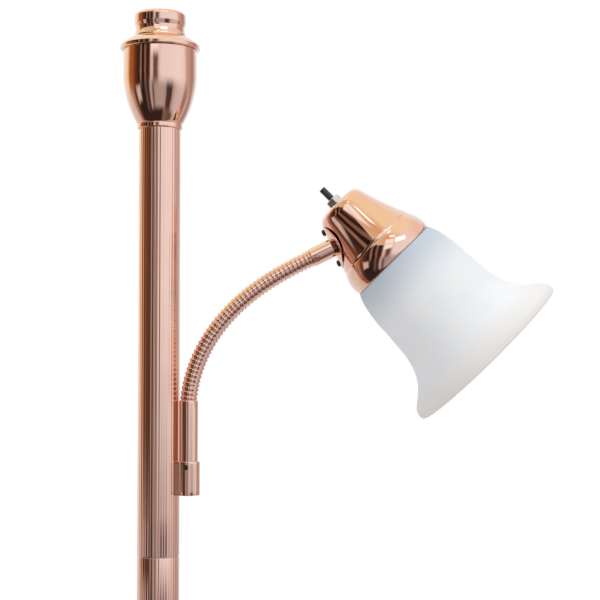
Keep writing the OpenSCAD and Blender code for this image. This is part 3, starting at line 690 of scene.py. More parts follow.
@dataclass
class UrnTop(Assembly):
    """Urn on the pole's end, brim cap, and the drum round the upward lamp's socket."""

    foot: float = 1475.8
    lip: float = 19.2
    lip_height: float = 4.6
    lip_round: float = 0.8
    lip_sweep: float = 70.0
    bore: float = POLE_BORE
    belly: float = 31.2
    belly_height: float = 47.0
    height: float = 66.85
    rim_round: float = 0.5
    floor: float = 8.0
    floor_round: float = 3.0
    skin: float = SHEET
    stud: float = STUD_HOLE
    brim_foot: float = 1542.7
    brim: float = 33.6
    brim_height: float = 4.2
    brim_round: float = 1.2
    brim_sweep: float = 52.0
    brim_roll: float = 5.0
    cap_height: float = 10.3
    cap_power: float = 0.92
    drum_base: float = 1553.05
    drum_foot: float = 22.3
    drum_edge: float = 0.4
    drum_upright: float = 0.15
    waist: float = 20.7
    waist_height: float = 8.3
    land: float = 21.85
    land_height: float = 13.2
    land_length: float = 4.6
    drum_round: float = 3.6
    ring_bore: float = 17.05

    def urn_line(self) -> Outline:
        """Outline of the urn: rounded lip, a bowl that is one arc up to the belly, upright top and inside.

        Returns:
            The closed outline from the foot of the bore.
        """
        drop = self.belly_height - self.lip_height
        swell = self.belly - self.lip
        bend = (drop**2 + swell**2) / (2 * swell)
        sweep = math.degrees(math.asin(drop / bend))
        bowl = arc((self.belly - bend, self.belly_height), bend, -sweep, 0, 40)
        low = low_corner(self.lip, 0, self.lip_round, 6)
        high = high_corner(self.lip, self.lip_height - EDGE, self.lip_round, 6, self.lip_sweep)
        rim = high_corner(self.belly, self.height, self.rim_round, 5)
        top, within = self.floor + self.skin, self.belly - self.skin
        inner = (bowl[bowl[:, 1] > top + self.floor_round] - [self.skin, 0])[::-1]
        floor = [(self.lip, top), (self.stud, top), (self.stud, self.floor), (self.bore, self.floor)]
        edge = [(within, self.height), (within, self.belly_height + 1)]
        return np.vstack([(self.bore, 0), low, high, bowl, rim, edge, inner, floor])

    def cap_line(self) -> Outline:
        """Outer line of the brim cap: rolled underside, round rim and a slope that eases to the drum's foot.

        Returns:
            The line from the underside to the ring's bore.
        """
        low = low_corner(self.brim, 0, self.brim_round, 10)
        high = high_corner(self.brim, self.brim_height, self.brim_round, 8, self.brim_sweep)
        share = np.linspace(0, 1, 26)[1:]
        r, z = high[-1]
        slope = curve(r + (self.drum_foot - r) * share, eased(z, self.cap_height, share, self.cap_power))
        under, top = (self.brim - self.brim_roll, 0), (self.ring_bore, self.cap_height)
        return np.vstack([under, low, high, slope, top])

    def drum_line(self) -> Outline:
        """Outer line of the drum: flared foot, waist, half cosine out to a straight land, rounded open top.

        Returns:
            The line from the foot of the ring's bore.
        """
        share = np.linspace(0, 1, 22)[1:]
        base = self.drum_upright * self.waist_height
        foot = curve(eased(self.drum_foot, self.waist, share), base + (self.waist_height - base) * share)
        swell = curve(
            self.waist + (self.land - self.waist) * (1 - np.cos(math.pi * share)) / 2,
            self.waist_height + (self.land_height - self.waist_height) * share,
        )
        height = self.land_height + self.land_length + self.drum_round
        top = high_corner(self.land, height, self.drum_round, 20)
        start = [(self.ring_bore, 0), (self.drum_foot - self.drum_edge, 0), (self.drum_foot, self.drum_edge)]
        return np.vstack([start, foot, swell, top])

    def build(self) -> None:
        """Builds the urn, the cap and the drum."""
        for node, height, outline in (
            ("urn_cup", self.foot, self.urn_line()),
            ("brim_cap", self.brim_foot, wall(self.cap_line(), self.skin)),
            ("drum_collar", self.drum_base, wall(self.drum_line(), self.skin)),
        ):
            self.add(f"{node}_spun", node, lifted(height).put(turned(outline, 160)))


@dataclass
class ArmRoot(Assembly):
    """Hub on the pole and the ferrule that carries the arm."""

    azimuth: float = -12.0
    reach: float = 26.1
    foot: float = 1170.0
    height: float = 28.0
    round: float = 9.4
    neck: float = 7.3
    pole: float = POLE_BORE
    ease: float = 0.5
    grub_drop: float = 4.8
    grub_hole: float = 2.05
    grub_soft: float = 0.2
    grub_depth: float = 1.6
    grub_from: float = -112.0
    grub_to: float = -70.0
    grub_room: float = 2.6
    ferrule: float = 7.7
    ferrule_end: float = 7.8
    ferrule_length: float = 50.6
    ferrule_depth: float = 13.0
    ferrule_bore: float = 3.0
    ferrule_power: float = 0.8
    ferrule_straight: float = 6.325
    end_round: float = 1.0

    def place(self) -> Place:
        """Place of the hub's axis at its foot, with +X away from the pole."""
        about = turn(Axis.Z, self.azimuth)
        return Place(about, about @ (self.reach, 0, 0) + (0, 0, self.foot))

    def plan(self) -> Array:
        """Outline of the hub seen from above: round front, a narrower neck and a cope round the pole.

        Returns:
            Closed outline (x, y) about the hub's axis, denser where the grub screw's hole lies.
        """
        meet = 180 - math.degrees(math.asin(self.neck / self.round))
        front = arc((0, 0), self.round, self.grub_to, meet, 72)
        side = arc((0, 0), self.round, -meet, self.grub_from, 14)
        fine = arc((0, 0), self.round, self.grub_from, self.grub_to, 54)[1:-1]
        corner = math.degrees(math.asin(self.neck / self.pole))
        cope = arc((-self.reach, 0), self.pole, corner, -corner, 28)
        left = curve(np.linspace(front[-1, 0], cope[0, 0], 10)[1:-1], self.neck)
        return np.vstack([side, fine, front, left, cope, left[::-1] * [1, -1]])

    def hub(self) -> Grid:
        """The hub: the plan carried upwards, with eased edges, a closed top and bottom and the sunk hole.

        The hole is a depth that steps up smoothly across a short width at its radius, along the hub's Y.

        Returns:
            The grid about the hub's axis.
        """
        outline = self.plan()
        rise, edge = edge_round(self.ease, 5)
        hole = self.height - self.grub_drop
        fine = np.linspace(hole - self.grub_room, hole + self.grub_room, 44)
        below = np.linspace(self.ease, fine[0], 8)[1:-1]
        z = np.concatenate([rise, below, fine, self.height - rise[::-1]])[:, None]
        drawn = np.concatenate([edge, 0 * below, 0 * fine, edge[::-1]])[:, None]
        shrink = 1 - drawn / np.linalg.norm(outline, axis=1)
        x, y = shrink * outline[:, 0], shrink * outline[:, 1]
        far = np.hypot(x, z - hole)
        step = np.clip((self.grub_hole + self.grub_soft - far) / (2 * self.grub_soft), 0, 1)
        sunk = self.grub_depth * step * step * (3 - 2 * step)
        side = np.stack([x, np.where(y < 0, y + sunk, y), z + 0 * x], axis=-1)
        inwards = np.array([[0, 0, 1], [0.5, 0.5, 1]])[:, None]
        return np.concatenate([side[0] * inwards, side, side[-1] * inwards[::-1]])

    def ferrule_line(self) -> Outline:
        """Outline of the lower ferrule: straight foot, a tube that widens smoothly, and a rounded end.

        Returns:
            The closed outline from the foot of the bore.
        """
        share = np.linspace(0, 1, 24)
        low, high = self.ferrule_straight, self.ferrule_length - self.end_round
        widening = (3 * share**2 - 2 * share**3) ** self.ferrule_power
        radius = self.ferrule + (self.ferrule_end - self.ferrule) * widening
        taper = curve(radius, low + (high - low) * share)
        end = high_corner(self.ferrule_end, self.ferrule_length, self.end_round, 8)[1:]
        foot = [(self.ferrule_bore, -self.ferrule_depth), (self.ferrule, -self.ferrule_depth)]
        return np.vstack([foot, taper, end, (self.ferrule_bore, self.ferrule_length)])

    def build(self) -> None:
        """Builds the hub and the lower ferrule."""
        self.add("arm_hub_block", "arm_hub", self.place().put(self.hub()), closed=False, sharp=35)
        above = self.place().within(lifted(self.height))
        self.add("lower_ferrule_turned", "lower_ferrule", above.put(turned(self.ferrule_line(), 96)))


@dataclass
class Gooseneck(Assembly):
    """Flexible arm on a curve: links with three ribs each, sleeved into one another so that they turn."""

    start: Point = (25.5297, ARM_PLANE, 1248.6)
    length: float = 161.5
    links: int = 14
    radius: float = 7.15
    core: float = 6.4
    rib: float = 1.33
    rib_power: float = 3.0
    ribs_per_link: int = 3
    lead: float = 8.0
    fade: float = 1.5
    bend: float = 64.0
    upright: float = 3.0
    inner: float = 4.9
    socket: float = 6.65
    socket_depth: float = 3.0
    sleeve: float = 1.8
    sleeve_tip: float = 6.15
    sleeve_straight: float = 0.6
    columns: int = 72
    rows_per_rib: int = 18
    sums_per_link: int = 240

    def tilt(self, s: Array) -> Array:
        """Tilt from the vertical in radians at arc lengths s: a bend that fades towards the head."""
        share = np.clip((s + self.lead) / (self.length + self.lead), 0, 1)
        return np.radians(self.bend * (1 - (1 - share) ** self.fade))

    def at(self, s: Array) -> tuple[Array, Array]:
        """The arm's centre line at arc lengths, by summing the curve's direction.

        Args:
            s: Arc lengths from the lower ferrule.

        Returns:
            X and Z of the points.
        """
        fine = np.linspace(0, self.length, self.links * self.sums_per_link + 1)
        middle = self.tilt((fine[:-1] + fine[1:]) / 2)
        x = np.concatenate([[0], np.cumsum(np.sin(middle) * fine[1])])
        z = np.concatenate([[0], np.cumsum(np.cos(middle) * fine[1])])
        return self.start[0] + np.interp(s, fine, x), self.start[2] + np.interp(s, fine, z)

    def outline(self, number: int) -> Array:
        """One link: ribs outside, a sleeve at the far end and a socket for the last link's sleeve.

        A rib's height follows a superellipse of its length, and between ribs the core shows. The room
        between ribs on either side of a joint, and the sleeve in its socket, let links turn freely.

        Args:
            number: Number of the link, from 1.

        Returns:
            Arc length and radius of each point of the closed outline, shape (n, 2).
        """
        pitch = self.length / (self.links * self.ribs_per_link)
        first, last = (number - 1) * self.ribs_per_link * pitch, number * self.ribs_per_link * pitch
        gap = pitch / 2 - self.rib
        start, stop = first + gap * (number > 1), last - gap * (number < self.links)
        s = np.linspace(start, stop, self.ribs_per_link * self.rows_per_rib + 1)
        across = np.clip(np.abs((s / pitch) % 1 - 0.5) * pitch / self.rib, 0, 1)
        height = (1 - across**self.rib_power) ** (1 / self.rib_power)
        outer = curve(s, self.core + (self.radius - self.core) * height)
        far = [(last, self.core), (last, self.inner)]
        if number < self.links:
            tip = last + self.sleeve
            far = [(last + self.sleeve_straight, self.core), (tip, self.sleeve_tip), (tip, self.inner)]
        near = [(first, self.inner), (first, self.core)]
        if number > 1:
            deep = first + self.socket_depth
            near = [(deep, self.inner), (deep, self.socket), (start, self.socket)]
            outer[0, 1] = self.socket + SEAT
        return np.vstack([outer, far, near])

    def link(self, number: int) -> Grid:
        """One link: its outline swept round the arm's curve.

        Args:
            number: Number of the link, from 1.

        Returns:
            The grid, a closed outline by columns.
        """
        s, r = self.outline(number).T[:, :, None]
        angle = full_turn(self.columns)
        tilt = self.tilt(s) * np.clip(s / self.upright, 0, 1)
        across = r * np.cos(angle)
        x, z = self.at(s)
        side = self.start[1] + r * np.sin(angle)
        return np.stack([x + across * np.cos(tilt), side, z - across * np.sin(tilt)], axis=-1)

    def carrier(self, number: int) -> str:
        """Name of the body that carries a link, counted from 1."""
        if number == 1:
            return Body.STAND.value
        return Body.HEAD.value if number == self.links else f"link_{number:02d}"

    def build(self) -> None:
        """Builds the links, each on its own body, turning about its joint at the middle of a groove."""
        for number in range(1, self.links + 1):
            name, node = f"gooseneck_winding_{number:02d}", f"gooseneck_{number:02d}"
            self.add(name, node, self.link(number), body=self.carrier(number), sharp=50)


@dataclass
class LampHead(Assembly):
    """Reading lamp: ferrule, saddle plate, cup, switch and bell glass, along one slanted axis."""

    body: Body = Body.HEAD
    origin: Point = LAMP_ORIGIN
    tilt: float = 45.0
    flare: float = 19.0
    back: float = 19.9
    back_round: float = 6.5
    back_land: float = 2.0
    flank_start: float = 6.0
    flank_out: float = 0.85
    flank_over: float = 2.3
    flank_rise: float = 0.2534
    flank_hollow: float = 0.0026
    step: float = 43.0
    crease: float = 3.3
    crease_out: float = 0.35
    cup_length: float = 66.8
    skirt: float = 40.8
    skirt_power: float = 0.85
    skirt_end: float = 5.5
    skirt_draw: float = 0.4
    skirt_edge: float = 0.6
    cup_skin: float = 1.0
    bushing_hole: float = 4.05
    saddle_along: float = 23.5
    saddle_radius: float = 19.3
    saddle_skin: float = SHEET
    saddle_pitch: float = 28.4
    saddle_fit: float = 0.85
    screw_head: float = 2.8
    screw_height: float = 2.0
    screw_flat: float = 0.5
    screw_shank: float = 1.45
    screw_depth: float = 1.5
    cross_reach: float = 1.3
    cross_half: float = 0.32
    cross_slope: float = 0.25
    cross_depth: float = 0.7
    cross_from: float = 0.6
    ferrule: float = 7.8
    ferrule_reach: float = 22.95
    ferrule_round: float = 0.5
    ferrule_bead: float = 7.2
    ferrule_bead_width: float = 2.9
    ferrule_bead_round: float = 0.7
    ferrule_bore: float = 2.0
    stop_screw: float = 2.35
    stop_proud: float = 0.3
    stop_length: float = 3.0
    stop_ease: float = 0.35
    stop_slot: float = 0.5
    stop_slot_slope: float = 0.2
    stop_slot_depth: float = 0.7
    stop_slot_room: float = 1.0
    stop_hole: float = 3.0
    stop_soft: float = 0.12
    stop_in: float = 6.2
    stop_turn: float = 24.0
    nut_flats: float = 12.0
    nut_height: float = 5.8
    nut_chamfer: float = 0.9
    nut_face: float = 0.15
    nut_slope: float = 1.55
    knob: float = 2.8
    knob_length: float = 11.2
    knob_end: float = -6.5
    knob_bevel: float = 0.35
    knob_face: float = 0.8
    flutes: int = 24
    flute_depth: float = 0.018
    spindle: float = 1.55
    spindle_in: float = 5.0
    glass_skin: float = 3.2
    glass_hole: float = 17.4
    glass_start: float = 46.15
    glass_room: float = 0.4
    crown_room: float = 3.0
    bell: float = 47.3
    bell_along: float = 106.0
    bell_power: float = 0.6
    bell_crowding: float = 1.4
    flare_start: float = 49.1
    flare_along: float = 128.0
    flare_hold: float = 0.78
    flare_lean: float = 0.16
    mouth: float = 76.5
    mouth_along: float = 177.6
    mouth_edge: float = 3.4
    lip_turn: float = 0.26
    socket_along: float = 14.85

    def axis(self) -> Place:
        """Place of the lamp's axis: the origin at the cup's back, +Z towards the mouth."""
        return Place(turn(Axis.Y, 90 + self.tilt), self.origin)

    def cone(self, along: float) -> float:
        """Radius of the cup's plain cone at a distance from its back."""
        return self.back + along * math.tan(math.radians(self.flare))

    def flank(self) -> Place:
        """Place on the cup's flank under the saddle: +Z outwards, +X towards the cup's back."""
        out = (self.cone(self.saddle_along), 0, self.saddle_along)
        return self.axis().within(Place(turn(Axis.Y, 90 + self.flare), out))

    def cup_line(self) -> Outline:
        """Outer line of the cup: flat back, rounded edge, hollow flank, creased step and swelling skirt.

        The flank is a parabola. The skirt swells as a power of a quarter sine, then draws in by a square.

        Returns:
            The line from the bushing's hole to the skirt's edge.
        """
        flat = self.back - self.back_round * math.tan(math.radians((90 - self.flare) / 2))
        back = arc((flat, self.back_round), self.back_round, -90, -self.flare, 20)
        along = np.linspace(self.flank_start, self.step + self.flank_over, 24)
        hollow = self.flank_rise * along + self.flank_hollow * (along - self.flank_start) ** 2
        side = curve(self.back + self.flank_out + hollow, along)
        share = np.linspace(0, 1, 40)
        start, stop = self.step + self.crease, self.cup_length - self.skirt_end
        neck = self.cone(start) + self.crease_out
        swell = curve(eased(neck, self.skirt, share, self.skirt_power), start + (stop - start) * share)
        draw = np.linspace(0, 1, 10)[1:]
        end = curve(self.skirt - self.skirt_draw * draw**2, stop + (self.skirt_end - self.skirt_edge) * draw)
        rim = end[-1, 0]
        edge = [(rim - FINE, self.cup_length - EDGE), (rim - EDGE, self.cup_length - SEAT)]
        middle = [(self.bushing_hole, 0), (flat - self.back_land, 0)]
        return np.vstack([middle, back, side, swell, end, edge])

    def glass_line(self) -> Outline:
        """Outer line of the glass: flat crown on its carrier, neck, bell, flare and a straight lip.

        The neck is a quarter ellipse, the bell swells as a power of a quarter sine, and the flare is a
        cubic curve that leaves the bell slowly and turns quickly into the lip.

        Returns:
            The line from the hole in the crown to the lip.
        """
        neck = self.skirt - self.skirt_draw - self.cup_skin - self.glass_room
        crown = self.cone(self.step) - self.cup_skin - self.glass_room - self.crown_room
        radii = (neck - crown, self.cup_length - self.glass_start)
        dome = arc((crown, self.cup_length), radii, -90, 0, 19)
        share = np.linspace(0, 1, 44)[1:] ** self.bell_crowding
        shoulder = curve(
            eased(neck, self.bell, share, self.bell_power),
            self.cup_length + (self.bell_along - self.cup_length) * share,
        )
        low, wide = self.flare_along, self.mouth - self.flare_start
        high = self.mouth_along - self.mouth_edge - low
        bend = np.array([
            (self.flare_start, low),
            (self.flare_start + self.flare_lean * wide, low + self.flare_hold * high),
            (self.mouth, low + (1 - self.lip_turn) * high),
            (self.mouth, low + high),
        ])
        t = np.linspace(0, 1, 64)
        weights = np.column_stack([(1 - t) ** 3, 3 * (1 - t) ** 2 * t, 3 * (1 - t) * t**2, t**3])
        lip = (self.mouth, self.mouth_along - self.glass_skin / 2)
        return np.vstack([(self.glass_hole, self.glass_start), dome, shoulder, weights @ bend, lip])

    def glass_wall(self) -> Outline:
        """Outline of the glass: its outer line, a half-round lip and the same line moved inside.

        Returns:
            The closed outline from the hole in the crown.
        """
        line, half = self.glass_line(), self.glass_skin / 2
        lip = arc((self.mouth - half, self.mouth_along - half), half, 10, 170, 14)
        return np.vstack([line, lip, moved(line, self.glass_skin)[::-1]])

    def saddle(self) -> Grid:
        """The saddle plate: a disc with a rounded edge, bent round an axis along the flank.

        Points go over the face, round the edge and back under it, and their Y becomes an arc of the bend.

        Returns:
            The grid on the flank's place.
        """
        slope = math.radians(self.flare)
        out = self.cone(self.saddle_along) + self.saddle_fit * self.saddle_radius * math.sin(slope)
        bend = out / math.cos(slope)
        half = self.saddle_skin / 2
        edge = arc((self.saddle_radius - half, half), half, 90, -90, 10)
        rings = np.linspace(0, self.saddle_radius - half, 14)[:-1]
        grid = turned(np.vstack([curve(rings, self.saddle_skin), edge, curve(rings[::-1], 0)]), 96)
        angle = np.clip(grid[..., 1] / bend, -1, 1)
        radius = bend + grid[..., 2]
        up = radius * np.cos(angle) - bend + SEAT
        return np.stack([grid[..., 0], radius * np.sin(angle), up], axis=-1)

    def screw(self) -> Grid:
        """A pan-head screw: a turned outline with a cross sunk into its domed head.

        Returns:
            The grid on the screw's own axis.
        """
        top, head, shank = self.screw_height, self.screw_head, self.screw_shank
        dome = arc((0, top / 3), (head, top * 2 / 3), 0, 90, 11)[:-1]
        low = -self.screw_depth
        foot = [(0, low), (shank, low), (shank, 0), (head - FINE, 0), (head, FINE)]
        grid = turned(np.vstack([foot, dome, curve(np.linspace(self.screw_flat, 0, 14), top)]), 64)
        x, y = np.abs(grid[..., 0]), np.abs(grid[..., 1])
        along = np.maximum(x - self.cross_reach, y - self.cross_half)
        across = np.maximum(y - self.cross_reach, x - self.cross_half)
        sunk = np.clip(-np.minimum(along, across) / self.cross_slope, 0, 1) * self.cross_depth
        grid[..., 2] -= sunk * (grid[..., 2] > top * self.cross_from)
        return grid

    def nut(self) -> Grid:
        """The hex nut: radius is the lesser of the hexagon's and a chamfer cone's, at each height.

        Returns:
            The grid on the lamp's axis, closed through the nut's bore.
        """
        angle = full_turn(144)
        off = (angle + math.pi / 6) % (math.pi / 3) - math.pi / 6
        tall, edge = self.nut_height, self.nut_chamfer
        rise = np.linspace(0, edge, 8)
        height = np.concatenate([rise, np.linspace(edge, tall - edge, 4)[1:-1], tall - rise[::-1]])
        cone = self.nut_flats / 2 - self.nut_face + np.minimum(height, tall - height) * self.nut_slope
        r = np.minimum(self.nut_flats / 2 / np.cos(off), cone[:, None])
        r = np.vstack([r, np.full((2, angle.size), self.bushing_hole)])
        z = np.concatenate([height, [tall, 0]])[:, None] - tall - SEAT
        return spun(r, z, angle)

    def knob_grid(self) -> Grid:
        """The switch knob: a bevelled rod with grip flutes by a cosine, and a spindle into the bushing.

        Returns:
            The grid on the lamp's axis.
        """
        near, far = self.knob_end, self.knob_end - self.knob_length
        thin, deep = self.spindle, self.spindle_in
        shaft = [(0, deep), (thin, deep), (thin, near), (self.knob - EDGE, near)]
        rod = np.linspace(near - EDGE, far + self.knob_bevel, 10)
        bevel = [(self.knob - FINE, far + 2 * FINE), (self.knob - self.knob_bevel, far)]
        face = [(self.knob_face, far), (0, far)]
        grid = turned(np.vstack([shaft, curve(self.knob, rod), bevel, face]), 96)
        flute = 1 - self.flute_depth * (1 - np.cos(self.flutes * full_turn(96))) / 2
        grid[len(shaft) + 1:len(shaft) + rod.size - 1, :, :2] *= flute[:, None]
        return grid

    def ferrule_line(self) -> Outline:
        """Outline of the head ferrule on the flank: a tube, a groove and a bead against the arm.

        Returns:
            The closed outline from the foot's outside.
        """
        foot, tube = self.saddle_skin / 2, self.ferrule
        groove = self.ferrule_reach - self.ferrule_bead_width
        screw = self.ferrule_reach - self.stop_in
        bend, roll = self.ferrule_round, self.ferrule_bead_round
        fine = np.linspace(screw - self.stop_hole - EDGE, groove - bend - FINE, 40)
        shoulder = arc((tube - bend, groove - bend), bend, 10, 90, 5)
        waist = self.ferrule_bead - roll
        bead = high_corner(self.ferrule_bead, self.ferrule_reach, roll, 6)
        start = [(tube - EDGE, foot), (tube, foot + EDGE)]
        neck = [(waist, groove + FINE), (self.ferrule_bead, groove + roll)]
        inside = [(self.ferrule_bore, self.ferrule_reach), (self.ferrule_bore, foot)]
        return np.vstack([start, curve(tube, fine), shoulder, neck, bead, inside])

    def stop_place(self) -> Place:
        """Place of the ferrule's slotted screw in the flank's axes: square to the ferrule, +Z outwards."""
        square = turn(Axis.Z, -self.stop_turn) @ turn(Axis.X, 90)
        return Place(square, (0, 0, self.ferrule_reach - self.stop_in))

    def ferrule_grid(self) -> Grid:
        """The head ferrule, sunk to a flat-bottomed hole round the slotted screw.

        The hole is a depth towards the ferrule's axis that steps up within a short width of its radius.

        Returns:
            The grid on the flank's place.
        """
        grid = turned(self.ferrule_line(), 240)
        place = self.stop_place()
        own = (grid - place.shift) @ place.turn
        far = np.hypot(own[..., 0], own[..., 1])
        step = np.clip((self.stop_hole + self.stop_soft - far) / (2 * self.stop_soft), 0, 1)
        radius = np.hypot(grid[..., 0], grid[..., 1])
        outside = (own[..., 2] > self.ferrule / 2) & (radius > self.ferrule - 2 * EDGE)
        grid[..., :2] *= (1 - step * outside / radius)[..., None]
        return grid

    def stop_grid(self) -> Grid:
        """The slotted screw: an eased head with a straight slot sunk across it.

        Returns:
            The grid on the screw's own axis.
        """
        top, ease, radius = self.ferrule + self.stop_proud, self.stop_ease, self.stop_screw
        rim = high_corner(radius, top, ease, 6)
        face = curve(np.linspace(radius - ease, 0, 18)[1:], top)
        foot = [(0, top - self.stop_length), (radius, top - self.stop_length)]
        grid = turned(np.vstack([foot, rim, face]), 96)
        slot = np.clip((self.stop_slot - np.abs(grid[..., 1])) / self.stop_slot_slope, 0, 1)
        grid[..., 2] -= self.stop_slot_depth * slot * (grid[..., 2] > top - self.stop_slot_room)
        return grid

    def build(self) -> None:
        """Builds the visible pieces of the head."""
        axis, flank = self.axis(), self.flank()
        self.add("lamp_cup_spun", "lamp_cup", axis.put(turned(wall(self.cup_line(), self.cup_skin), 160)))
        self.add("bell_glass", "glass_shade", axis.put(turned(self.glass_wall(), 160)), Slot.GLASS)
        self.add("saddle_plate_bent", "saddle_plate", flank.put(self.saddle()), closed=False)
        self.add("head_ferrule_turned", "head_ferrule", flank.put(self.ferrule_grid()))
        stop = flank.within(self.stop_place()).put(self.stop_grid())
        self.add("ferrule_screw_slotted", "ferrule_screw", stop, closed=False)
        self.add("switch_nut_hex", "switch_nut", axis.put(self.nut()), Slot.NICKEL, sharp=25)
        knob = axis.put(self.knob_grid())
        self.add("switch_knob_fluted", "switch_knob", knob, Slot.KNOB, Body.KNOB.value, closed=False)
        for side, label in ((-1, "front"), (1, "back")):
            seat = (side * self.saddle_pitch / 2, 0, 2 * SEAT + self.saddle_skin)
            screw = flank.within(Place(np.eye(3), seat)).put(self.screw())
            self.add(f"saddle_screw_{label}", "saddle_screws", screw, Slot.BLACK_STEEL, closed=False)


@dataclass
class LampSocket(Assembly):
    """Rolled brass thread in a lampholder and the ring that clamps it."""

    label: str = "mother"
    place: Place = lifted(1522.05)
    ring_height: float = 32.25
    ring_outer: float = 19.1
    ring_bore: float = 17.05
    ring_length: float = 4.4
    ring_ease: float = 0.6
    ring_node: str = "mother_ring"
    shell_start: float = 17.5
    shell_end: float = 48.5
    shell_half: float = 0.12
    shell_fade: float = 2.5
    crest: float = 13.32
    root: float = 14.05
    pitch: float = 3.63
    notches: int = 24
    notch_depth: float = 0.55
    notch_from: float = 0.55

    def shell(self) -> Grid:
        """The thread: a thin shell whose radius follows a sine of the helix's phase, faded at both ends.

        Returns:
            The grid, with rows along the inside and back along the outside.
        """
        z = np.linspace(self.shell_start, self.shell_end, 110)
        angle = full_turn(72)
        phase = 2 * math.pi * (z[:, None] / self.pitch) - angle
        near = np.minimum(z - self.shell_start, self.shell_end - z)
        room = np.clip(near / self.shell_fade, 0, 1)[:, None]
        middle, deep = (self.crest + self.root) / 2, (self.root - self.crest) / 2 - self.shell_half
        inner = middle - self.shell_half + deep * np.sin(phase) * room
        r = np.vstack([inner, inner[::-1] + 2 * self.shell_half])
        return spun(r, np.concatenate([z, z[::-1]])[:, None], angle)

    def ring(self) -> Grid:
        """The clamp ring: a rounded band with grip notches, the crests of a cosine, cut round its outside.

        Returns:
            The grid at the ring's height.
        """
        low = low_corner(self.ring_outer, 0, self.ring_ease, 5)
        high = high_corner(self.ring_outer, self.ring_length, self.ring_ease, 5)
        band = np.vstack([(self.ring_bore, 0), low, high, (self.ring_bore, self.ring_length)])
        grid = turned(band + [0, self.ring_height], 192)
        wave = np.clip(np.cos(self.notches * full_turn(192)) - self.notch_from, 0, 1)
        bite = wave / (1 - self.notch_from) * self.notch_depth
        radius = np.hypot(grid[..., 0], grid[..., 1])
        outside = radius > self.ring_outer - 2 * self.ring_ease
        grid[..., :2] *= (1 - bite * outside / radius)[..., None]
        return grid

    def build(self) -> None:
        """Builds the threaded shell and the clamp ring."""
        shell, ring = self.place.put(self.shell()), self.place.put(self.ring())
        self.add(f"{self.label}_thread", f"{self.label}_screw_shell", shell, Slot.BRASS, sharp=80)
        self.add(f"{self.label}_clamp_ring", self.ring_node, ring, Slot.HOLDER)


@dataclass(frozen=True)
class SoftBox:
    """A square studio lamp: where it stands, what it faces, its width and its power."""

    name: str
    where: Point
    aim: Point
    width: float
    power: float

    def build(self) -> None:
        """Adds the lamp to the scene, hidden from mirrors."""
        lamp = bpy.data.lights.new(self.name, "AREA")
        lamp.shape = "SQUARE"
        lamp.size = self.width
        lamp.energy = self.power
        stand = bpy.data.objects.new(self.name, lamp)
        bpy.context.scene.collection.objects.link(stand)
        stand.location = self.where
        back = np.subtract(self.where, self.aim)
        back /= np.linalg.norm(back)
        across = np.cross([0, 0, 1], back)
        across /= np.linalg.norm(across)
        axes = np.column_stack([across, np.cross(back, across), back])
        stand.rotation_euler = Matrix(axes.tolist()).to_euler()
        stand.visible_glossy = False


# The mirrored room: rows of bearing in degrees, red, green and blue

Tones = tuple[tuple[float, float, float, float], ...]

WALL_TONES: Tones = (
    (-180, 1.0, 0.99, 0.97), (-138, 1.0, 0.98, 0.86), (-118, 1.0, 0.86, 0.66), (-109, 0.80, 0.52, 0.30),
    (-103, 0.42, 0.15, 0.04), (-88, 0.36, 0.11, 0.025), (-79, 0.15, 0.05, 0.02),
    (-67, 0.045, 0.022, 0.02), (-61, 0.03, 0.015, 0.012), (-57, 0.40, 0.25, 0.16),
    (-52, 0.018, 0.01, 0.008), (-46, 0.018, 0.01, 0.008), (-44, 0.25, 0.14, 0.09),
    (-39, 0.23, 0.125, 0.085), (-37, 0.026, 0.012, 0.01), (-31, 0.05, 0.025, 0.02),
    (-27, 0.18, 0.10, 0.085), (-23, 0.80, 0.65, 0.58), (-18.5, 0.76, 0.62, 0.56), (-16, 0.36, 0.22, 0.17),
    (-12, 0.13, 0.085, 0.075), (-6, 0.14, 0.09, 0.08), (-2, 0.34, 0.27, 0.27), (2, 0.72, 0.66, 0.67),
    (8, 0.92, 0.89, 0.90), (70, 0.99, 0.96, 0.98), (86, 0.94, 0.87, 0.87), (96, 0.66, 0.50, 0.43),
    (126, 0.42, 0.28, 0.22), (146, 0.85, 0.79, 0.77), (160, 1.0, 0.99, 0.97),
)
LOW_TONES: Tones = (
    (-180, 0.92, 0.88, 0.85), (-120, 0.76, 0.68, 0.63), (-106, 0.74, 0.65, 0.61),
    (-100, 0.50, 0.33, 0.27), (-94, 0.50, 0.32, 0.25), (-87, 0.16, 0.06, 0.03), (-80, 0.08, 0.03, 0.015),
    (-72, 0.03, 0.018, 0.015), (-48, 0.03, 0.018, 0.015), (-42, 0.16, 0.11, 0.12),
    (-36, 0.04, 0.022, 0.02), (-30, 0.14, 0.08, 0.07), (-27, 0.58, 0.48, 0.44), (-22, 0.45, 0.36, 0.33),
    (-18, 0.08, 0.05, 0.045), (-14, 0.36, 0.29, 0.28), (-8, 0.46, 0.39, 0.39), (14, 0.50, 0.43, 0.43),
    (24, 0.44, 0.36, 0.36), (29, 0.08, 0.05, 0.05), (44, 0.07, 0.045, 0.045), (50, 0.45, 0.36, 0.36),
    (60, 0.66, 0.58, 0.58), (80, 0.72, 0.64, 0.65), (90, 0.66, 0.56, 0.56), (96, 0.34, 0.20, 0.16),
    (108, 0.48, 0.31, 0.25), (116, 0.66, 0.56, 0.54), (128, 0.34, 0.23, 0.22), (148, 0.62, 0.52, 0.50),
    (180, 0.92, 0.88, 0.85),
)
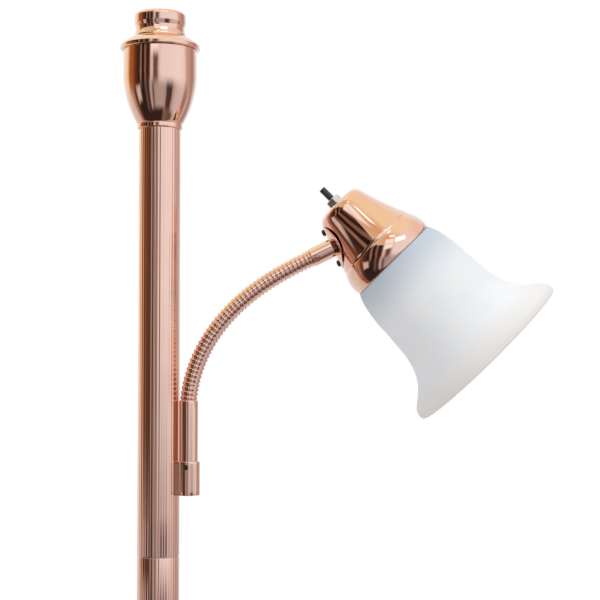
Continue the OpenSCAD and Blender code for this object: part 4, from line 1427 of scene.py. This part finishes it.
GROUND_TONES: Tones = (
    (-180, 0.80, 0.73, 0.70), (-112, 0.70, 0.60, 0.55), (-100, 0.55, 0.30, 0.18), (-86, 0.16, 0.06, 0.03),
    (-78, 0.035, 0.022, 0.02), (14, 0.035, 0.022, 0.02), (24, 0.24, 0.15, 0.11), (58, 0.12, 0.08, 0.07),
    (70, 0.50, 0.40, 0.38), (92, 0.75, 0.66, 0.63), (180, 0.80, 0.73, 0.70),
)
CEILING_TONES: Tones = (
    (-180, 0.98, 0.93, 0.80), (-120, 0.98, 1.05, 0.82), (-90, 0.88, 0.88, 0.64), (-70, 0.76, 0.70, 0.50),
    (-50, 0.78, 0.62, 0.42), (-20, 0.76, 0.48, 0.26), (5, 0.90, 0.70, 0.48), (40, 0.97, 0.90, 0.86),
    (90, 0.95, 0.76, 0.68), (125, 0.92, 0.74, 0.62), (150, 0.97, 0.93, 0.88), (180, 0.98, 0.93, 0.80),
)
ZENITH_TONES: Tones = (
    (-180, 1.0, 0.95, 0.70), (-90, 1.0, 1.0, 0.76), (-30, 1.0, 0.88, 0.60), (60, 1.0, 0.87, 0.60),
)
# Heights in degrees over which each list takes over from what is built so far
LAYERS = ((4, -13, LOW_TONES), (-32, -42, GROUND_TONES), (28, 34, CEILING_TONES), (50, 70, ZENITH_TONES))


@dataclass(frozen=True)
class Patch:
    """A soft-edged thing in the mirrored room, in degrees of bearing and of height."""

    bearing: float
    height: float
    half_width: float
    half_height: float
    colour: Colour
    soft: float


PATCHES = (
    Patch(-70, -13, 8, 7, (0.72, 0.60, 0.54), 4),
    Patch(-11, 31, 13, 13, (1.1, 1.08, 1.08), 3),
    Patch(-20, 31.5, 26, 1.0, (0.83, 0.72, 0.58), 1.2),
    Patch(-6, 52.5, 9, 2.2, (1.5, 1.7, 1.8), 1.0),
    Patch(24, 40, 18, 7, (1.5, 1.7, 1.8), 1.5),
    Patch(-28, 66, 9, 5, (1.3, 1.4, 1.4), 2),
)


@dataclass
class MirroredRoom:
    """The room that polished metal mirrors: walls, ground and ceiling by direction, and a few things."""

    tree: Tree
    wobble: float = 4.0
    wobble_scale: float = 5.0
    light: Colour = (0.968, 1.179, 1.357)

    def colour(self) -> Socket:
        """Builds the room from the walls outwards and then its things.

        Returns:
            Socket with the room's colour in a direction.
        """
        place = self.place()
        bearing, height = self.split(place)[:2]
        room = self.tones(bearing, WALL_TONES)
        for start, stop, tones in LAYERS:
            share = spread(self.tree, height, start, stop, smooth=True)
            room = mixed(self.tree, share, room, self.tones(bearing, tones))
        for patch in PATCHES:
            share = spread(self.tree, self.outside(place, patch), patch.soft, -patch.soft, smooth=True)
            room = mixed(self.tree, share, room, patch.colour)
        return self.vector("MULTIPLY", room, self.light)

    def vector(self, operation: str, *values: Value) -> Socket:
        """Result of a vector math node on sockets and plain vectors."""
        return worked(self.tree, operation, *values, kind="VectorMath")

    def split(self, vector: Socket) -> list[Socket]:
        """X, Y and Z of a vector."""
        return list(wired(self.tree, "SeparateXYZ", {0: vector}).outputs)

    def place(self) -> Socket:
        """The direction's bearing from -Y towards +X and its height, both in degrees and gently wobbled.

        Returns:
            Socket with bearing and height as X and Y.
        """
        direction = wired(self.tree, "TexCoord", {}).outputs["Generated"]
        x, y, z = self.split(direction)
        bearing = worked(self.tree, "ARCTAN2", x, worked(self.tree, "MULTIPLY", y, -1.0))
        angles = (bearing, worked(self.tree, "ARCSINE", z))
        degrees = [worked(self.tree, "DEGREES", angle) for angle in angles]
        pair = wired(self.tree, "CombineXYZ", dict(enumerate(degrees))).outputs[0]
        cloud = noise(self.tree, direction, self.wobble_scale, 2).outputs["Color"]
        shake = self.vector("SUBTRACT", cloud, (0.5, 0.5, 0.5))
        return self.vector("ADD", pair, self.vector("MULTIPLY", shake, (self.wobble, self.wobble, 0)))

    def tones(self, bearing: Socket, tones: Tones) -> Socket:
        """A colour by bearing.

        Args:
            bearing: Socket with the bearing in degrees.
            tones: Rows of bearing and colour, from -180 to 180.

        Returns:
            The colour's socket.
        """
        share = worked(self.tree, "MULTIPLY_ADD", bearing, 1 / 360, 0.5)
        node = wired(self.tree, "ValToRGB", {0: share})
        stops = node.color_ramp.elements
        stops.remove(stops[-1])
        for number, (degrees, *tone) in enumerate(tones):
            stop = stops.new((degrees + 180) / 360) if number else stops[0]
            stop.position = (degrees + 180) / 360
            stop.color = (*tone, 1)
        return node.outputs["Color"]

    def outside(self, place: Socket, patch: Patch) -> Socket:
        """Distance outside a patch's box, below zero within it.

        Args:
            place: Socket with bearing and height.
            patch: Patch to measure from.

        Returns:
            Socket with the distance in degrees.
        """
        off = self.vector("ABSOLUTE", self.vector("SUBTRACT", place, (patch.bearing, patch.height, 0)))
        x, y, _ = self.split(self.vector("SUBTRACT", off, (patch.half_width, patch.half_height, 0)))
        return worked(self.tree, "MAXIMUM", x, y)


@dataclass
class Studio:
    """Camera, pale floor, lamps and the room that polished metal mirrors."""

    camera_at: Point = (0.118, -1.214, 1.2792)
    pitch: float = 2.5
    lens: float = 87.0
    sensor: float = 36.0
    nearest: float = 0.02
    ambient: float = 0.55
    floor_half: float = 4000.0
    floor_drop: float = 0.2
    floor_tone: Colour = (0.88, 0.88, 0.88)
    floor_rough: float = 0.85

    def camera(self) -> None:
        """Adds the camera at the photograph's angle."""
        lens = bpy.data.cameras.new("camera")
        lens.sensor_width = self.sensor
        lens.lens = self.lens
        lens.clip_start = self.nearest
        camera = bpy.data.objects.new("camera", lens)
        bpy.context.scene.collection.objects.link(camera)
        camera.location = self.camera_at
        camera.rotation_euler = (math.radians(90 + self.pitch), 0, 0)
        bpy.context.scene.camera = camera

    def floor(self) -> None:
        """Adds the pale floor as a stage piece."""
        reach = [-self.floor_half, self.floor_half]
        y, x = np.meshgrid(reach, reach, indexing="ij")
        grid = np.stack([x, y, np.full(x.shape, -self.floor_drop)], axis=-1)
        floor = grid_object("studio_floor", grid, False, False)
        material = bpy.data.materials.new("pale_floor")
        material.use_nodes = True
        shader = material.node_tree.nodes["Principled BSDF"].inputs
        shader["Roughness"].default_value = self.floor_rough
        shader["Base Color"].default_value = (*self.floor_tone, 1)
        dress(floor, material)
        floor.visible_glossy = False

    def room(self) -> None:
        """Builds the world: white to the camera, a soft even light, and the mirrored room for gloss."""
        world = bpy.data.worlds.new("studio_room")
        bpy.context.scene.world = world
        world.use_nodes = True
        tree = world.node_tree
        tree.nodes.clear()
        path = wired(tree, "LightPath", {}).outputs
        white = wired(tree, "Background", {"Color": WHITE}).outputs[0]
        soft = wired(tree, "Background", {"Color": WHITE, "Strength": self.ambient}).outputs[0]
        mirrored = wired(tree, "Background", {"Color": MirroredRoom(tree).colour()}).outputs[0]
        light = wired(tree, "MixShader", {0: path["Is Glossy Ray"], 1: soft, 2: mirrored}).outputs[0]
        seen = worked(tree, "MAXIMUM", path["Is Camera Ray"], path["Is Transmission Ray"])
        final = wired(tree, "MixShader", {0: seen, 1: light, 2: white}).outputs[0]
        wired(tree, "OutputWorld", {"Surface": final})

    def build(self) -> None:
        """Builds the whole studio."""
        bpy.context.scene.view_settings.view_transform = "Standard"
        self.camera()
        self.floor()
        self.room()
        SoftBox("key_lamp", (1.6, -1.5, 2.6), (0.15, 0, 1.35), 0.9, 20).build()
        SoftBox("fill_lamp", (-1.7, -1.6, 1.9), (0.1, 0, 1.2), 1.2, 14).build()
        SoftBox("top_lamp", (0.2, 0.4, 3.4), (0.1, 0, 0.8), 1.6, 14).build()


def main() -> None:
    """Loads the frame, builds the studio and builds the lamp in order."""
    logging.basicConfig(level=logging.INFO, format="%(message)s")
    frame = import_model()
    Studio().build()
    palette = {finish.slot: finish.material() for finish in FINISHES}
    for part in frame["record"]["subparts"]:
        dress(frame["nodes"][part["node"]], palette[Slot(part["material_slot"])])
    head = LampHead(palette)
    mother = LampSocket(palette)
    daughter = LampSocket(
        palette, label="daughter", body=Body.HEAD, place=head.axis().within(lifted(head.socket_along)),
        ring_height=34.55, ring_outer=23.05, ring_node="shade_ring",
    )
    for group in (
        WeightedBase(palette), ReededPole(palette), UrnTop(palette), ArmRoot(palette), Gooseneck(palette),
        head, mother, daughter,
    ):
        group.build()
        log.info("%s is built", type(group).__name__)


if __name__ == "__main__":
    main()
